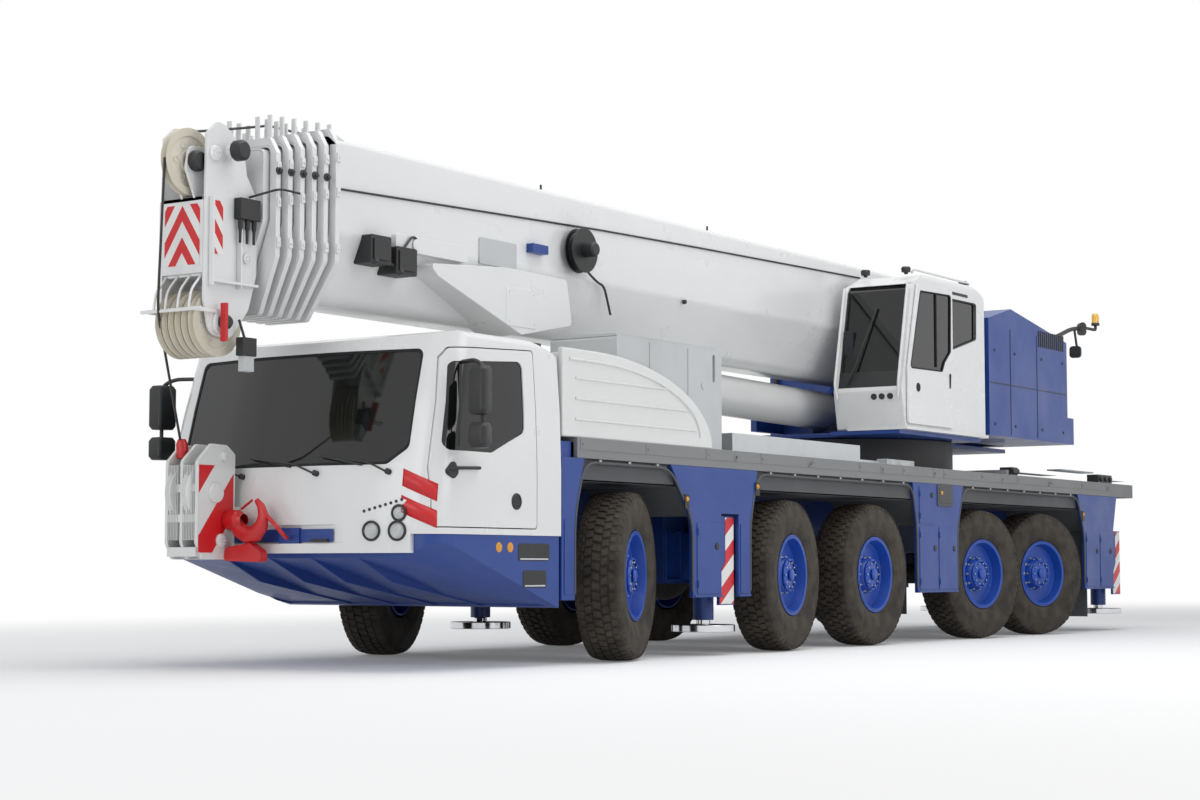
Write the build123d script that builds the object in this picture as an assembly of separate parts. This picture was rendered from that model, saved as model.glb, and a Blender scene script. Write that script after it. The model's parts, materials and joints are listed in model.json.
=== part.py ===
from build123d import *
import math
import os

# Five-axle all-terrain mobile crane, millimetres.
# +X points forward, +Y to the driver's left, +Z up, and z = 0 is the road.
# While modelling, x is measured from the first axle; export() then moves everything so that
# the origin lies under the middle of the whole crane.

# ---- overall ----
HALF_WIDTH = 1375.0          # road width is twice this
FRONT_TIP = 3970.0           # rope guard in front of the boom head
REAR_TIP = -11650.0          # tow coupling behind the carrier
ORIGIN_X = (FRONT_TIP + REAR_TIP) / 2

# ---- clearances ----
FIT = 0.05                   # radial, shaft in its hole
SEAT = 0.3                   # between faces that slide or turn on each other
CLEAR = 6.0                  # between moving pieces that must not touch

# ---- wheels and axles ----
TYRE_R = 684.0
TYRE_W = 385.0
BEAD_R = 345.0
RIM_W = 330.0
RIM_WALL = 14.0
HUB_R = 150.0
WHEEL_Y = HALF_WIDTH - TYRE_W / 2
KINGPIN_Y = 1030.0
KINGPIN_R = 35.0
SPINDLE_R = 60.0
DRUM_R = 200.0
AXLE_TUBE_R = 105.0
FORK_REACH = 205.0           # half height of the axle's end fork
KNUCKLE_REACH = 130.0        # half height of the knuckle between the fork's arms
# number, x of the axle, steering angle as parked (degrees, positive to the left), steered
AXLES = [
    (1, 0.0, 19.3, True),
    (2, -2640.0, 8.0, True),
    (3, -4320.0, 0.0, False),
    (4, -6905.0, -10.5, True),
    (5, -8580.0, -17.2, True),
]

# ---- carrier ----
FRAME_HALF = 430.0
FRAME_BOTTOM = 920.0
DECK_TOP = 1760.0
DECK_PLATE = 35.0
BAND_DEPTH = 160.0
SKIN = 40.0
DECK_FRONT = 800.0
DECK_REAR = -11250.0
FRAME_REAR = -11200.0
BULKHEAD_FRONT = 1010.0
BULKHEAD_REAR = 830.0
PANEL_BOTTOM = 500.0
ARCH_TOP = 1420.0
GUARD_PLATE = 20.0

# ---- carrier cab ----
CAB_REAR = 1020.0
CAB_FRONT = 3060.0
CAB_FLOOR = 990.0
CAB_ROOF = 2480.0
CAB_WALL = 45.0
CAB_CORNER = 300.0
GLASS = 8.0
DOOR_FRONT = 2630.0
DOOR_REAR = 1340.0

# ---- outriggers ----
OUTRIGGER_STROKE = 1500.0    # of each of the two stages
BEAM_W = 250.0
BEAM_H = 430.0
BEAM_BOTTOM = 640.0
BEAM_WALL = 12.0
BEAM_END = 980.0
STAGE_GAP = 8.0
JACK_Y = 1100.0
JACK_R = 90.0
JACK_ROD_R = 60.0
JACK_BOTTOM = 300.0
JACK_TOP = 1190.0
PAD_R = 275.0
PAD_BOTTOM = 200.0
PAD_THICK = 60.0
# place, x of the left beam, x of the right beam
OUTRIGGERS = [
    ("front", -1520.0, -1240.0),
    ("rear", -10750.0, -11030.0),
]

# ---- superstructure ----
SLEW_X = -6400.0
POT_R = 1100.0
RING_TOP = 2080.0
TURNTABLE_PLATE = 45.0
CHEEK_INNER = 500.0
CHEEK_T = 70.0
PIVOT_X = -8350.0
PIVOT_Z = 3250.0
PIVOT_R = 110.0
LUFF_FOOT_X = -6000.0
LUFF_FOOT_Z = 2400.0
LUFF_EYE_X = -1900.0
LUFF_EYE_Z = 2470.0
LUFF_BARREL_R = 200.0
LUFF_ROD_R = 130.0
LUFF_PIN_R = 70.0
LUFF_NECK = 210.0            # from the foot pin to the barrel's own round
LUFF_MOUTH = 420.0           # from the barrel's mouth to the rod's eye
CRANE_CAB_REAR = -6970.0
CRANE_CAB_FRONT = -4950.0
CRANE_CAB_INNER = CHEEK_INNER + CHEEK_T + SEAT
CRANE_CAB_OUTER = 1340.0
CRANE_CAB_FLOOR = 2130.0
CRANE_CAB_ROOF = 3750.0
CRANE_CAB_WALL = 40.0
TAIL_FRONT = -7050.0
TAIL_REAR = -9250.0
TAIL_BOTTOM = 2175.0
TAIL_TOP = 3500.0

# ---- boom ----
BOOM_HALF_W = 440.0
BOOM_BOTTOM = 2700.0
BOOM_TOP = 3920.0
BOOM_REAR = -8650.0
BOOM_WALL = 12.0
NEST_STEP = 26.0             # how much each section is smaller than the one around it
COLLAR_STEP = 138.0          # from one collar to the next
BASE_COLLAR_X = 2110.0
COLLAR_T = 60.0
COLLAR_RISE = 110.0
SECTIONS = 6                 # that slide out, the last one with the head
SHEAVE_X = 3620.0
UPPER_SHEAVE_Z = 3620.0
LOWER_SHEAVE_Z = 2440.0
SHEAVE_R = 270.0
SHEAVE_T = 60.0
SHEAVE_PIN_R = 50.0
JIB_BORE_X = 3420.0
JIB_BORE_Z = 3850.0
JIB_BORE_R = 30.0


def block(x0, x1, y0, y1, z0, z1):
    """Box between two corners."""
    size = (abs(x1 - x0), abs(y1 - y0), abs(z1 - z0))
    return Pos((x0 + x1) / 2, (y0 + y1) / 2, (z0 + z1) / 2) * Box(*size)


def side_plate(outline, y0, y1, radius=0):
    """Plate of a side-view outline of (x, z) points, between y0 and y1."""
    points = [(x, min(y0, y1), z) for x, z in outline]
    line = FilletPolyline(*points, radius=radius, close=True)
    return extrude(make_face(line), amount=abs(y1 - y0), dir=(0, 1, 0))


def end_plate(outline, x0, x1, radius=0):
    """Plate of a front-view outline of (y, z) points, between x0 and x1."""
    points = [(min(x0, x1), y, z) for y, z in outline]
    line = FilletPolyline(*points, radius=radius, close=True)
    return extrude(make_face(line), amount=abs(x1 - x0), dir=(1, 0, 0))


def plan_plate(outline, z0, z1, radius=0):
    """Plate of a plan outline of (x, y) points, between z0 and z1."""
    points = [(x, y, z0) for x, y in outline]
    line = FilletPolyline(*points, radius=radius, close=True)
    return extrude(make_face(line), amount=z1 - z0, dir=(0, 0, 1))


def bar_y(x, z, radius, y0, y1):
    """Round bar across the crane."""
    return Pos(x, (y0 + y1) / 2, z) * Rot(90, 0, 0) * Cylinder(radius, abs(y1 - y0))


def bar_x(y, z, radius, x0, x1):
    """Round bar along the crane."""
    return Pos((x0 + x1) / 2, y, z) * Rot(0, 90, 0) * Cylinder(radius, abs(x1 - x0))


def bar_z(x, y, radius, z0, z1):
    """Upright round bar."""
    return Pos(x, y, (z0 + z1) / 2) * Cylinder(radius, z1 - z0)


def bar_between(start, end, radius):
    """Round bar from one point to another."""
    start, end = Vector(*start), Vector(*end)
    along = end - start
    plane = Plane(origin=start, z_dir=along)
    return extrude(plane * Circle(radius), amount=along.length)


def mirrored(solid):
    """The same piece on the other side of the crane."""
    return mirror(solid, about=Plane.XZ)


def export(name, solids):
    """Write one piece, moved to the crane's own origin."""
    found = Compound(children=[s for part in solids for s in part.solids()])
    export_step(Pos(-ORIGIN_X, 0, 0) * found, os.path.join("parts", name + ".step"))


def ring_profile(points):
    """Solid turned about the Y axis from (radius, y) points."""
    line = Polyline(*[(r, y, 0) for r, y in points], close=True)
    return revolve(make_face(line), axis=Axis.Y)


# ---- wheels: tyre and rim, turned about Y, outboard towards +Y ----
TREAD_HALF = TYRE_W / 2 - 40
SHOULDER_R = TYRE_R - 28
WALL_R = 560.0
BEAD_HALF = RIM_W / 2 - 20


def tyre():
    half = TYRE_W / 2
    outer = [
        (BEAD_R + SEAT, -BEAD_HALF),
        (WALL_R, -half),
        (SHOULDER_R, -half + 10),
        (TYRE_R, -TREAD_HALF),
        (TYRE_R, TREAD_HALF),
        (SHOULDER_R, half - 10),
        (WALL_R, half),
        (BEAD_R + SEAT, BEAD_HALF),
    ]
    return ring_profile(outer)


def rim():
    half = RIM_W / 2
    inner = BEAD_R - RIM_WALL
    profile = [
        (SPINDLE_R + FIT, -20),
        (HUB_R, -20),
        (HUB_R, 10),
        (inner - 30, 30),
        (inner, -half),
        (BEAD_R, -half),
        (BEAD_R, half),
        (inner, half),
        (inner - 20, 60),
        (HUB_R + 30, 45),
        (HUB_R, 110),
        (HUB_R - 45, 135),
        (0, 135),
        (0, 80),
        (SPINDLE_R + FIT, 80),
    ]
    return ring_profile(profile)


def knuckle():
    """Steering knuckle with its king pin at the origin, spindle towards +Y."""
    reach = WHEEL_Y - KINGPIN_Y
    body = bar_z(0, 0, 90, -KNUCKLE_REACH, KNUCKLE_REACH)
    body += bar_z(0, 0, KINGPIN_R, -FORK_REACH, FORK_REACH)
    body += bar_y(0, 0, SPINDLE_R, 0, reach + 75)
    drum = bar_y(0, 0, DRUM_R, 100, reach - 22) - bar_z(0, 0, 96, -FORK_REACH, FORK_REACH)
    body += drum
    return body


def stand(solid, x, side, y, angle):
    """Put a wheel-side piece at its place: side is +1 left, -1 right."""
    if side < 0:
        solid = mirrored(solid)
    return Pos(x, side * y, TYRE_R) * Rot(0, 0, angle) * solid


def axle_beam(x, steered):
    beam = bar_y(x, TYRE_R, AXLE_TUBE_R, -840, 840)
    beam += Pos(x, 0, TYRE_R) * Sphere(235)
    beam += bar_z(x, 300, 70, TYRE_R, FRAME_BOTTOM)
    beam += bar_z(x, -300, 70, TYRE_R, FRAME_BOTTOM)
    for side in (1, -1):
        if steered:
            y0, y1 = side * 780, side * (KINGPIN_Y + 60)
            fork = block(x - 75, x + 75, y0, y1, TYRE_R - FORK_REACH, TYRE_R + FORK_REACH)
            slot = block(x - 80, x + 80, side * (KINGPIN_Y - 110), side * (KINGPIN_Y + 80),
                         TYRE_R - KNUCKLE_REACH - SEAT, TYRE_R + KNUCKLE_REACH + SEAT)
            hole = bar_z(x, side * KINGPIN_Y, KINGPIN_R + FIT, 0, 2 * TYRE_R)
            beam += fork - slot - hole
        else:
            beam += bar_y(x, TYRE_R, SPINDLE_R, side * 840, side * (WHEEL_Y + 75))
            beam += bar_y(x, TYRE_R, DRUM_R, side * (KINGPIN_Y + 50), side * (WHEEL_Y - 22))
            beam += bar_y(x, TYRE_R, 95, side * 780, side * (KINGPIN_Y + 60))
    return beam


# ---- carrier frame ----
TUNNEL_W = BEAM_W + 2 * CLEAR
TUNNEL_TOP = BEAM_BOTTOM + BEAM_H + CLEAR
BOX_WALL = 25.0
TOW_Z = 1110.0
TOW_BORE_R = 26.0


def chassis_frame():
    frame_top = DECK_TOP - DECK_PLATE
    frame = block(BULKHEAD_REAR, FRAME_REAR, -FRAME_HALF, FRAME_HALF, FRAME_BOTTOM, frame_top)
    for place, left_x, right_x in OUTRIGGERS:
        x0 = max(left_x, right_x) + TUNNEL_W / 2 + BOX_WALL
        x1 = min(left_x, right_x) - TUNNEL_W / 2 - BOX_WALL
        frame += block(x0, x1, -BEAM_END + 10, BEAM_END - 10, BEAM_BOTTOM - BOX_WALL, frame_top)
        for x in (left_x, right_x):
            frame -= block(x - TUNNEL_W / 2, x + TUNNEL_W / 2, -HALF_WIDTH, HALF_WIDTH,
                           BEAM_BOTTOM - SEAT, TUNNEL_TOP)
    frame += block(FRAME_REAR, REAR_TIP + 180, -220, 220, 980, 1250)
    frame += block(REAR_TIP + 180, REAR_TIP, -70, 70, TOW_Z - 60, TOW_Z + 60)
    frame -= bar_z(REAR_TIP + 70, 0, TOW_BORE_R, TOW_Z - 100, TOW_Z + 100)
    return frame


def slewing_ring():
    """Fixed race of the slewing bearing on top of the frame."""
    return bar_z(SLEW_X, 0, POT_R, DECK_TOP - DECK_PLATE, RING_TOP - SEAT)


def carrier_deck():
    plate = block(DECK_FRONT, DECK_REAR, -HALF_WIDTH, HALF_WIDTH, DECK_TOP - BAND_DEPTH, DECK_TOP)
    plate -= block(DECK_FRONT + 50, DECK_REAR + SKIN, -HALF_WIDTH + SKIN, HALF_WIDTH - SKIN,
                   DECK_TOP - BAND_DEPTH - 50, DECK_TOP - DECK_PLATE)
    plate -= bar_z(SLEW_X, 0, POT_R + SEAT, 0, 3000)
    grating = block(-1780, -4210, 760, 1250, DECK_TOP, DECK_TOP + 170)
    grating += block(-4700, -5300, 1180, 1300, DECK_TOP, DECK_TOP + 60)
    return [plate + grating]


# front and rear edges of the blue side panels at the bottom, then at the deck
PANELS = [
    (BULKHEAD_FRONT, BULKHEAD_FRONT, 830, 700),
    (-910, -560, -1870, -2000),
    (-5200, -5100, -6150, -6300),
    (-9650, -9450, -10560, -10700),
]


def side_panels():
    top = DECK_TOP - BAND_DEPTH
    solids = []
    for front_low, front_high, rear_low, rear_high in PANELS:
        outline = [
            (front_low, PANEL_BOTTOM),
            (front_low, 1180),
            (front_high, ARCH_TOP + 40),
            (front_high, top),
            (rear_high, top),
            (rear_high, ARCH_TOP + 40),
            (rear_low, 1180),
            (rear_low, PANEL_BOTTOM),
        ]
        panel = side_plate(outline, HALF_WIDTH - SKIN, HALF_WIDTH)
        left, right = panel, mirrored(panel)
        for place, left_x, right_x in OUTRIGGERS:
            gap = BEAM_W / 2 + 20
            left -= block(left_x - gap, left_x + gap, 0, HALF_WIDTH + 1, 0, JACK_TOP + 20)
            right -= block(right_x - gap, right_x + gap, -HALF_WIDTH - 1, 0, 0, JACK_TOP + 20)
        solids += [left, right]
    return solids


# front and rear of each wheel arch's flat top
ARCHES = [(650, -610), (-2030, -5080), (-6340, -9380)]


def mudguards():
    top = DECK_TOP - BAND_DEPTH
    drop = 240.0
    solids = []
    for front, rear in ARCHES:
        t = GUARD_PLATE
        outline = [
            (front, ARCH_TOP), (rear, ARCH_TOP), (rear - drop, ARCH_TOP - drop),
            (rear - drop - t, ARCH_TOP - drop), (rear - t, ARCH_TOP + t),
            (front, ARCH_TOP + t),
        ]
        guard = side_plate(outline, FRAME_HALF, HALF_WIDTH - SKIN)
        guard += block(front, rear, HALF_WIDTH - 2 * SKIN, HALF_WIDTH - SKIN, ARCH_TOP, top)
        solids += [guard, mirrored(guard)]
    return solids


# ---- carrier cab ----
CAB_SIDE = [
    (CAB_REAR, CAB_FLOOR), (CAB_REAR, CAB_ROOF - 60), (CAB_REAR + 300, CAB_ROOF),
    (CAB_FRONT - 500, CAB_ROOF - 60), (CAB_FRONT - 300, CAB_ROOF - 200), (CAB_FRONT - 40, 1490),
    (CAB_FRONT, 1280), (CAB_FRONT, 920), (CAB_FRONT - 50, 860), (CAB_FRONT - 420, 860), (CAB_FRONT - 430, CAB_FLOOR),
]
CAB_SIDE_RADII = [20, 60, 200, 160, 80, 100, 60, 30, 20, 1, 1]


def cab_form(inset):
    """The cab's outer form, or the same form drawn in by a wall."""
    width = HALF_WIDTH - inset
    side = side_plate(CAB_SIDE, -HALF_WIDTH, HALF_WIDTH, radius=CAB_SIDE_RADII)
    if inset:
        line = FilletPolyline(*[(x, 0, z) for x, z in CAB_SIDE], radius=CAB_SIDE_RADII, close=True)
        face = offset(make_face(line), amount=-inset, kind=Kind.INTERSECTION)
        side = extrude(face, amount=2 * HALF_WIDTH, dir=(0, 1, 0), both=True)
    corners = [
        (CAB_REAR - 10 + inset, -width), (CAB_FRONT + 5 - inset, -width),
        (CAB_FRONT + 5 - inset, width), (CAB_REAR - 10 + inset, width),
    ]
    plan = plan_plate(corners, 0, 3000, radius=[1, CAB_CORNER - inset, CAB_CORNER - inset, 1])
    return side & plan


SCREEN = [(1480, 1120), (1480, -1120), (1560, -1290), (2230, -1180), (2230, 1180), (1560, 1290)]
DOOR = [
    (DOOR_FRONT, CAB_FLOOR + 20), (DOOR_FRONT + 30, 1500), (DOOR_FRONT - 40, 2280),
    (DOOR_FRONT - 160, 2340), (DOOR_REAR, 2380), (DOOR_REAR, CAB_FLOOR + 20),
]
HINGE_R = 11.0
HINGE_X = DOOR_FRONT + CLEAR / 2
HINGE_Y = HALF_WIDTH + 2
HINGES = [(1120, 1220), (1640, 1740)]    # bottom and top of each barrel
DOOR_WINDOW = [(2470, 2230), (1510, 2290), (1500, 1760), (1920, 1590), (2530, 1580)]


def screen_cutter(margin):
    points = [(y - math.copysign(margin, y), z + (margin if z < 1800 else -margin))
              for z, y in SCREEN]
    return end_plate(points, 2350, CAB_FRONT + 100, radius=60)


def door_cutter(margin):
    outline = [
        (x + (margin if x > 2000 else -margin), z + (margin if z > 1600 else -margin))
        for x, z in DOOR
    ]
    return side_plate(outline, HALF_WIDTH - 120, HALF_WIDTH + 120)


def carrier_cab(outer, inner):
    shell = outer - inner
    shell -= screen_cutter(0)
    opening = door_cutter(CLEAR)
    for low, high in HINGES:
        opening += bar_z(HINGE_X, HINGE_Y, HINGE_R + FIT, low - SEAT, high + SEAT)
    shell -= opening
    shell -= mirrored(opening)
    return shell


def cab_glass(outer, glass_inner):
    return (outer - glass_inner) & screen_cutter(SEAT)


def carrier_door(outer, inner):
    """Left door with its pane, and the mirror on its arm."""
    door = (outer - inner) & door_cutter(0)
    window = side_plate(DOOR_WINDOW, 0, HALF_WIDTH + 50, radius=60)
    y = HALF_WIDTH
    arm = bar_between((2500, y - 20, 2260), (2330, 1600, 2200), 18)
    arm += block(2200, 2400, 1520, 1700, 1600, 2190)
    for low, high in HINGES:
        arm += bar_z(HINGE_X, HINGE_Y, HINGE_R, low, high)
    pane_line = side_plate(DOOR_WINDOW, y - 30, y - 30 + GLASS, radius=60)
    return [door - window + arm, pane_line & (window)]


def front_nose():
    """Blue underbody below the cab: flanks, front beam and sloping belly."""
    outline = [
        (BULKHEAD_FRONT, PANEL_BOTTOM - 60), (BULKHEAD_FRONT, CAB_FLOOR), (2620, CAB_FLOOR),
        (2640, 855), (2950, 855), (2910, 800), (2170, 630),
    ]
    nose = side_plate(outline, -HALF_WIDTH, HALF_WIDTH)
    nose += block(BULKHEAD_FRONT, BULKHEAD_REAR, -HALF_WIDTH + SKIN, HALF_WIDTH - SKIN,
                  PANEL_BOTTOM, DECK_TOP - DECK_PLATE)
    for x0 in (1150, 1650, 2150):
        nose -= block(x0, x0 + 420, -HALF_WIDTH + 220, -60, 0, CAB_FLOOR - 60)
        nose -= block(x0, x0 + 420, 60, HALF_WIDTH - 220, 0, CAB_FLOOR - 60)
    return nose


# ---- covers behind the cab ----
COVER_TOP = 2430.0
COVER_REAR = -1250.0
TOWER = (140.0, -1580.0, 640.0, 1315.0, 2660.0)


def engine_covers():
    outline = [
        (990, DECK_TOP), (990, COVER_TOP), (700, COVER_TOP), (-100, COVER_TOP - 90),
        (-900, 2150), (COVER_REAR, 1850), (COVER_REAR, DECK_TOP),
    ]
    radii = [0, 20, 400, 600, 400, 60, 0]
    fairing = side_plate(outline, HALF_WIDTH - 60, HALF_WIDTH, radius=radii)
    x0, x1, y0, y1, top = TOWER
    tower = block(x0, x1, y0, y1, DECK_TOP, top)
    hood = block(990, COVER_REAR, -HALF_WIDTH + 60, y0 - 1, DECK_TOP, COVER_TOP - 40)
    hood -= block(960, COVER_REAR + 30, -HALF_WIDTH + 90, y0 - 31, DECK_TOP - 1, COVER_TOP - 70)
    link = block(990, x0, y0 - 1, HALF_WIDTH - 60, DECK_TOP, COVER_TOP - 40)
    return [fairing + hood + link + tower + mirrored(fairing)]


def engine_block():
    return block(850, -850, -420, 420, DECK_TOP, COVER_TOP - 120)


def hook_block():
    """Block parked against the front of the cab, with its hook turned towards the tow eye."""
    y0, y1 = -400.0, 0.0
    outline = [
        (3130, 900), (3200, 810), (3480, 810), (3560, 950), (3560, 1500), (3480, 1640),
        (3230, 1670), (3130, 1560),
    ]
    solid = side_plate(outline, y0, y1, radius=30)
    for y in (-330, -230, -130):
        solid -= block(3480, 3600, y, y + 60, 1000, 1700)
    solid += block(CAB_FRONT + SEAT, 3140, y0 + 60, y1 - 60, 960, 1200)
    ring = Pos(3330, 330, 1010) * Rot(90, 0, 0) * Torus(110, 38)
    hook = ring + bar_y(3330, 1120, 45, 0, 330)
    return solid + hook


# ---- outriggers ----
def outrigger(x, side):
    """Outer beam, inner beam with its jack, and the foot, extended towards side."""
    bottom, top = BEAM_BOTTOM, BEAM_BOTTOM + BEAM_H
    half = BEAM_W / 2
    beam = block(x - half, x + half, -BEAM_END, BEAM_END, bottom, top)
    inner = half - BEAM_WALL
    beam -= block(x - inner, x + inner, -BEAM_END - 1, BEAM_END + 1,
                  bottom + BEAM_WALL, top - BEAM_WALL)
    core = half - BEAM_WALL - STAGE_GAP
    low, high = bottom + BEAM_WALL + SEAT, top - BEAM_WALL - STAGE_GAP
    extension = block(x - core, x + core, -BEAM_END + 40, JACK_Y, low, high)
    extension += bar_z(x, JACK_Y, JACK_R, JACK_BOTTOM, JACK_TOP)
    extension += block(x - half, x + half, JACK_Y + 60, JACK_Y + 210, low, high)
    extension += block(x - half, x + half, JACK_Y + 210, JACK_Y + 235, 430, JACK_TOP)
    extension -= bar_z(x, JACK_Y, JACK_ROD_R + FIT, 0, JACK_TOP - 25)
    foot = bar_z(x, JACK_Y, JACK_ROD_R, PAD_BOTTOM + PAD_THICK, JACK_TOP - 30)
    foot += bar_z(x, JACK_Y, PAD_R, PAD_BOTTOM, PAD_BOTTOM + PAD_THICK)
    if side < 0:
        return mirrored(beam), mirrored(extension), mirrored(foot)
    return beam, extension, foot


# ---- superstructure ----
CHEEK = [
    (-5250, 2180), (-5250, 2480), (-5600, 2640), (-6900, 2660), (-7900, 3380), (-8250, 3520),
    (-8560, 3480), (-8900, 3100), (-9250, 2900), (-9250, 2180),
]


def turntable():
    low, high = RING_TOP, RING_TOP + TURNTABLE_PLATE
    outer = CHEEK_INNER + CHEEK_T
    plate = bar_z(SLEW_X, 0, POT_R - 80, low, high)
    floor = block(-5250, -9250, -outer, outer, low + 10, high + 10)
    cheek = side_plate(CHEEK, CHEEK_INNER, outer)
    solid = plate + floor + cheek + mirrored(cheek)
    shelf = block(CRANE_CAB_FRONT - 60, CRANE_CAB_REAR, CHEEK_INNER, CRANE_CAB_OUTER - 60,
                  low + 10, CRANE_CAB_FLOOR - SEAT)
    solid += shelf
    solid -= bar_y(PIVOT_X, PIVOT_Z, PIVOT_R + FIT, -outer - 1, outer + 1)
    lug = block(LUFF_FOOT_X - 160, LUFF_FOOT_X + 160, 150, CHEEK_INNER, high, LUFF_FOOT_Z + 120)
    solid += lug + mirrored(lug)
    solid += bar_y(LUFF_FOOT_X, LUFF_FOOT_Z, LUFF_PIN_R, -200, 200)
    return solid


CRANE_SIDE = [
    (CRANE_CAB_REAR, CRANE_CAB_FLOOR), (CRANE_CAB_REAR, CRANE_CAB_ROOF - 120),
    (CRANE_CAB_REAR + 250, CRANE_CAB_ROOF), (CRANE_CAB_FRONT - 600, CRANE_CAB_ROOF),
    (CRANE_CAB_FRONT - 250, CRANE_CAB_ROOF - 140), (CRANE_CAB_FRONT, 2520),
    (CRANE_CAB_FRONT - 80, CRANE_CAB_FLOOR),
]
CRANE_RADII = [30, 80, 120, 200, 120, 60, 30]
CRANE_DOOR = [(-5230, 2230), (-5230, 2760), (-5460, 3560), (-6160, 3600), (-6180, 2230)]
CRANE_WINDOW = [(-5520, 3500), (-5300, 2800), (-5900, 2800), (-6100, 3500)]
CRANE_QUARTER = [(-6280, 3480), (-6280, 2950), (-6500, 3080), (-6850, 3120), (-6850, 3480)]
CRANE_DOOR_T = 28.0


def crane_cab():
    """Hollow cab on the left of the boom."""
    outer = side_plate(CRANE_SIDE, CRANE_CAB_INNER, CRANE_CAB_OUTER, radius=CRANE_RADII)
    line = FilletPolyline(*[(x, 0, z) for x, z in CRANE_SIDE], radius=CRANE_RADII, close=True)
    face = offset(make_face(line), amount=-CRANE_CAB_WALL, kind=Kind.INTERSECTION)
    y0, y1 = CRANE_CAB_INNER + CRANE_CAB_WALL, CRANE_CAB_OUTER - CRANE_CAB_WALL
    inner = Pos(0, y0, 0) * extrude(face, amount=y1 - y0, dir=(0, 1, 0))
    shell = outer - inner
    screen = end_plate([(y0, 2560), (y1, 2560), (y1, 3620), (y0, 3620)],
                       CRANE_CAB_FRONT - 450, CRANE_CAB_FRONT + 100)
    shell -= screen
    shell -= side_plate(CRANE_DOOR, y1 - 20, CRANE_CAB_OUTER + 20)
    shell -= side_plate(CRANE_QUARTER, y1 - 20, CRANE_CAB_OUTER + 20, radius=40)
    return shell


def crane_cab_glass():
    x0 = CRANE_CAB_FRONT - 20
    y0, y1 = CRANE_CAB_INNER + CRANE_CAB_WALL, CRANE_CAB_OUTER - CRANE_CAB_WALL
    outline = [(x0, 2560 + SEAT), (x0 - GLASS, 2560 + SEAT), (x0 - 233 - GLASS, 3619), (x0 - 233, 3619)]
    front = side_plate(outline, y0 + SEAT, y1 - SEAT)
    quarter = side_plate(CRANE_QUARTER, y1 + 5, y1 + 5 + GLASS, radius=40)
    return [front, quarter]


def crane_cab_door():
    """Sliding door outside the cab wall, with its pane."""
    y0 = CRANE_CAB_OUTER + SEAT
    outline = [(-5200, 2200), (-5200, 2760), (-5440, 3590), (-6190, 3630), (-6210, 2200)]
    skin = side_plate(outline, y0, y0 + CRANE_DOOR_T, radius=20)
    window = side_plate(CRANE_WINDOW, y0 - 1, y0 + CRANE_DOOR_T + 1, radius=50)
    pane = side_plate(CRANE_WINDOW, y0 + 8, y0 + 8 + GLASS, radius=50)
    return [skin - window, pane]


def tail_housing():
    y0, y1 = CHEEK_INNER + CHEEK_T + SEAT, HALF_WIDTH - 25
    outline = [
        (TAIL_FRONT, TAIL_BOTTOM), (TAIL_FRONT, TAIL_TOP - 60), (TAIL_FRONT - 600, TAIL_TOP + 90),
        (TAIL_REAR, TAIL_TOP - 150), (TAIL_REAR, TAIL_BOTTOM),
    ]
    side = side_plate(outline, y0, y1)
    slab = block(TAIL_REAR - SEAT, TAIL_REAR - 180, -y1, y1, TAIL_BOTTOM, 2480)
    joint = block(TAIL_REAR, TAIL_REAR - 60, y0, y1, TAIL_BOTTOM, 2480)
    return [side + mirrored(side) + slab + joint + mirrored(joint)]


def hoist_winch():
    z = 2790.0
    x = -9130.0 + 60
    drum = bar_y(x, z, 200, -430, 430)
    for y in (-430, 400):
        drum += bar_y(x, z, 270, y, y + 30)
    drum += block(x - 60, x + 60, -CHEEK_INNER + SEAT, -430, 2190 + 200, z + 60)
    drum += block(x - 60, x + 60, 430, CHEEK_INNER - SEAT, 2190 + 200, z + 60)
    return drum


# ---- boom ----
def boom_outline(level):
    """Front-view outline of section number level: 0 is the base."""
    w = BOOM_HALF_W - NEST_STEP * level
    low, high = BOOM_BOTTOM + NEST_STEP * level, BOOM_TOP - NEST_STEP * level
    mid = low + 0.42 * (high - low)
    points = [(-w, high), (w, high), (w, mid), (0.5 * w, low), (-0.5 * w, low), (-w, mid)]
    return points


def boom_tube(level, x0, x1):
    points = boom_outline(level)
    w = points[1][0]
    radii = [50, 50, 0.35 * w, 0.35 * w, 0.35 * w, 0.35 * w]
    outer = end_plate(points, x0, x1, radius=radii)
    scale_w = BOOM_WALL / NEST_STEP
    inner_points = boom_outline(level + scale_w)
    inner = end_plate(inner_points, x0 - 1, x1 + 1, radius=[max(r - 8, 5) for r in radii])
    return outer - inner


def boom_collar(level, x):
    """Flange round the mouth of a section, with the slide pad that the next one runs on."""
    points = boom_outline(level)
    w = points[1][0]
    low, high = points[3][1], points[1][1]
    rise = COLLAR_RISE
    outer = [
        (-w - 60, high + rise), (w + 60, high + rise), (w + 60, low + 0.42 * (high - low)),
        (0.5 * w + 30, low - 50), (-0.5 * w - 30, low - 50), (-w - 60, low + 0.42 * (high - low)),
    ]
    ring = end_plate(outer, x, x + COLLAR_T, radius=10)
    ring -= end_plate(points, x - 1, x + COLLAR_T + 1, radius=[50, 50] + [0.35 * w] * 4)
    pad_low, pad_high = low + BOOM_WALL - 1, low + NEST_STEP - SEAT
    pad = block(x - 240, x + COLLAR_T, -0.35 * w, 0.35 * w, pad_low, pad_high)
    return ring, pad


def boom_section(level):
    """A section with its collar; the innermost has none."""
    rear = BOOM_REAR + 560 + 60 * level
    collar_x = BASE_COLLAR_X + COLLAR_STEP * level
    tube = boom_tube(level, rear, collar_x + COLLAR_T)
    ring, pad = boom_collar(level, collar_x)
    return tube + ring + pad


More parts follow.
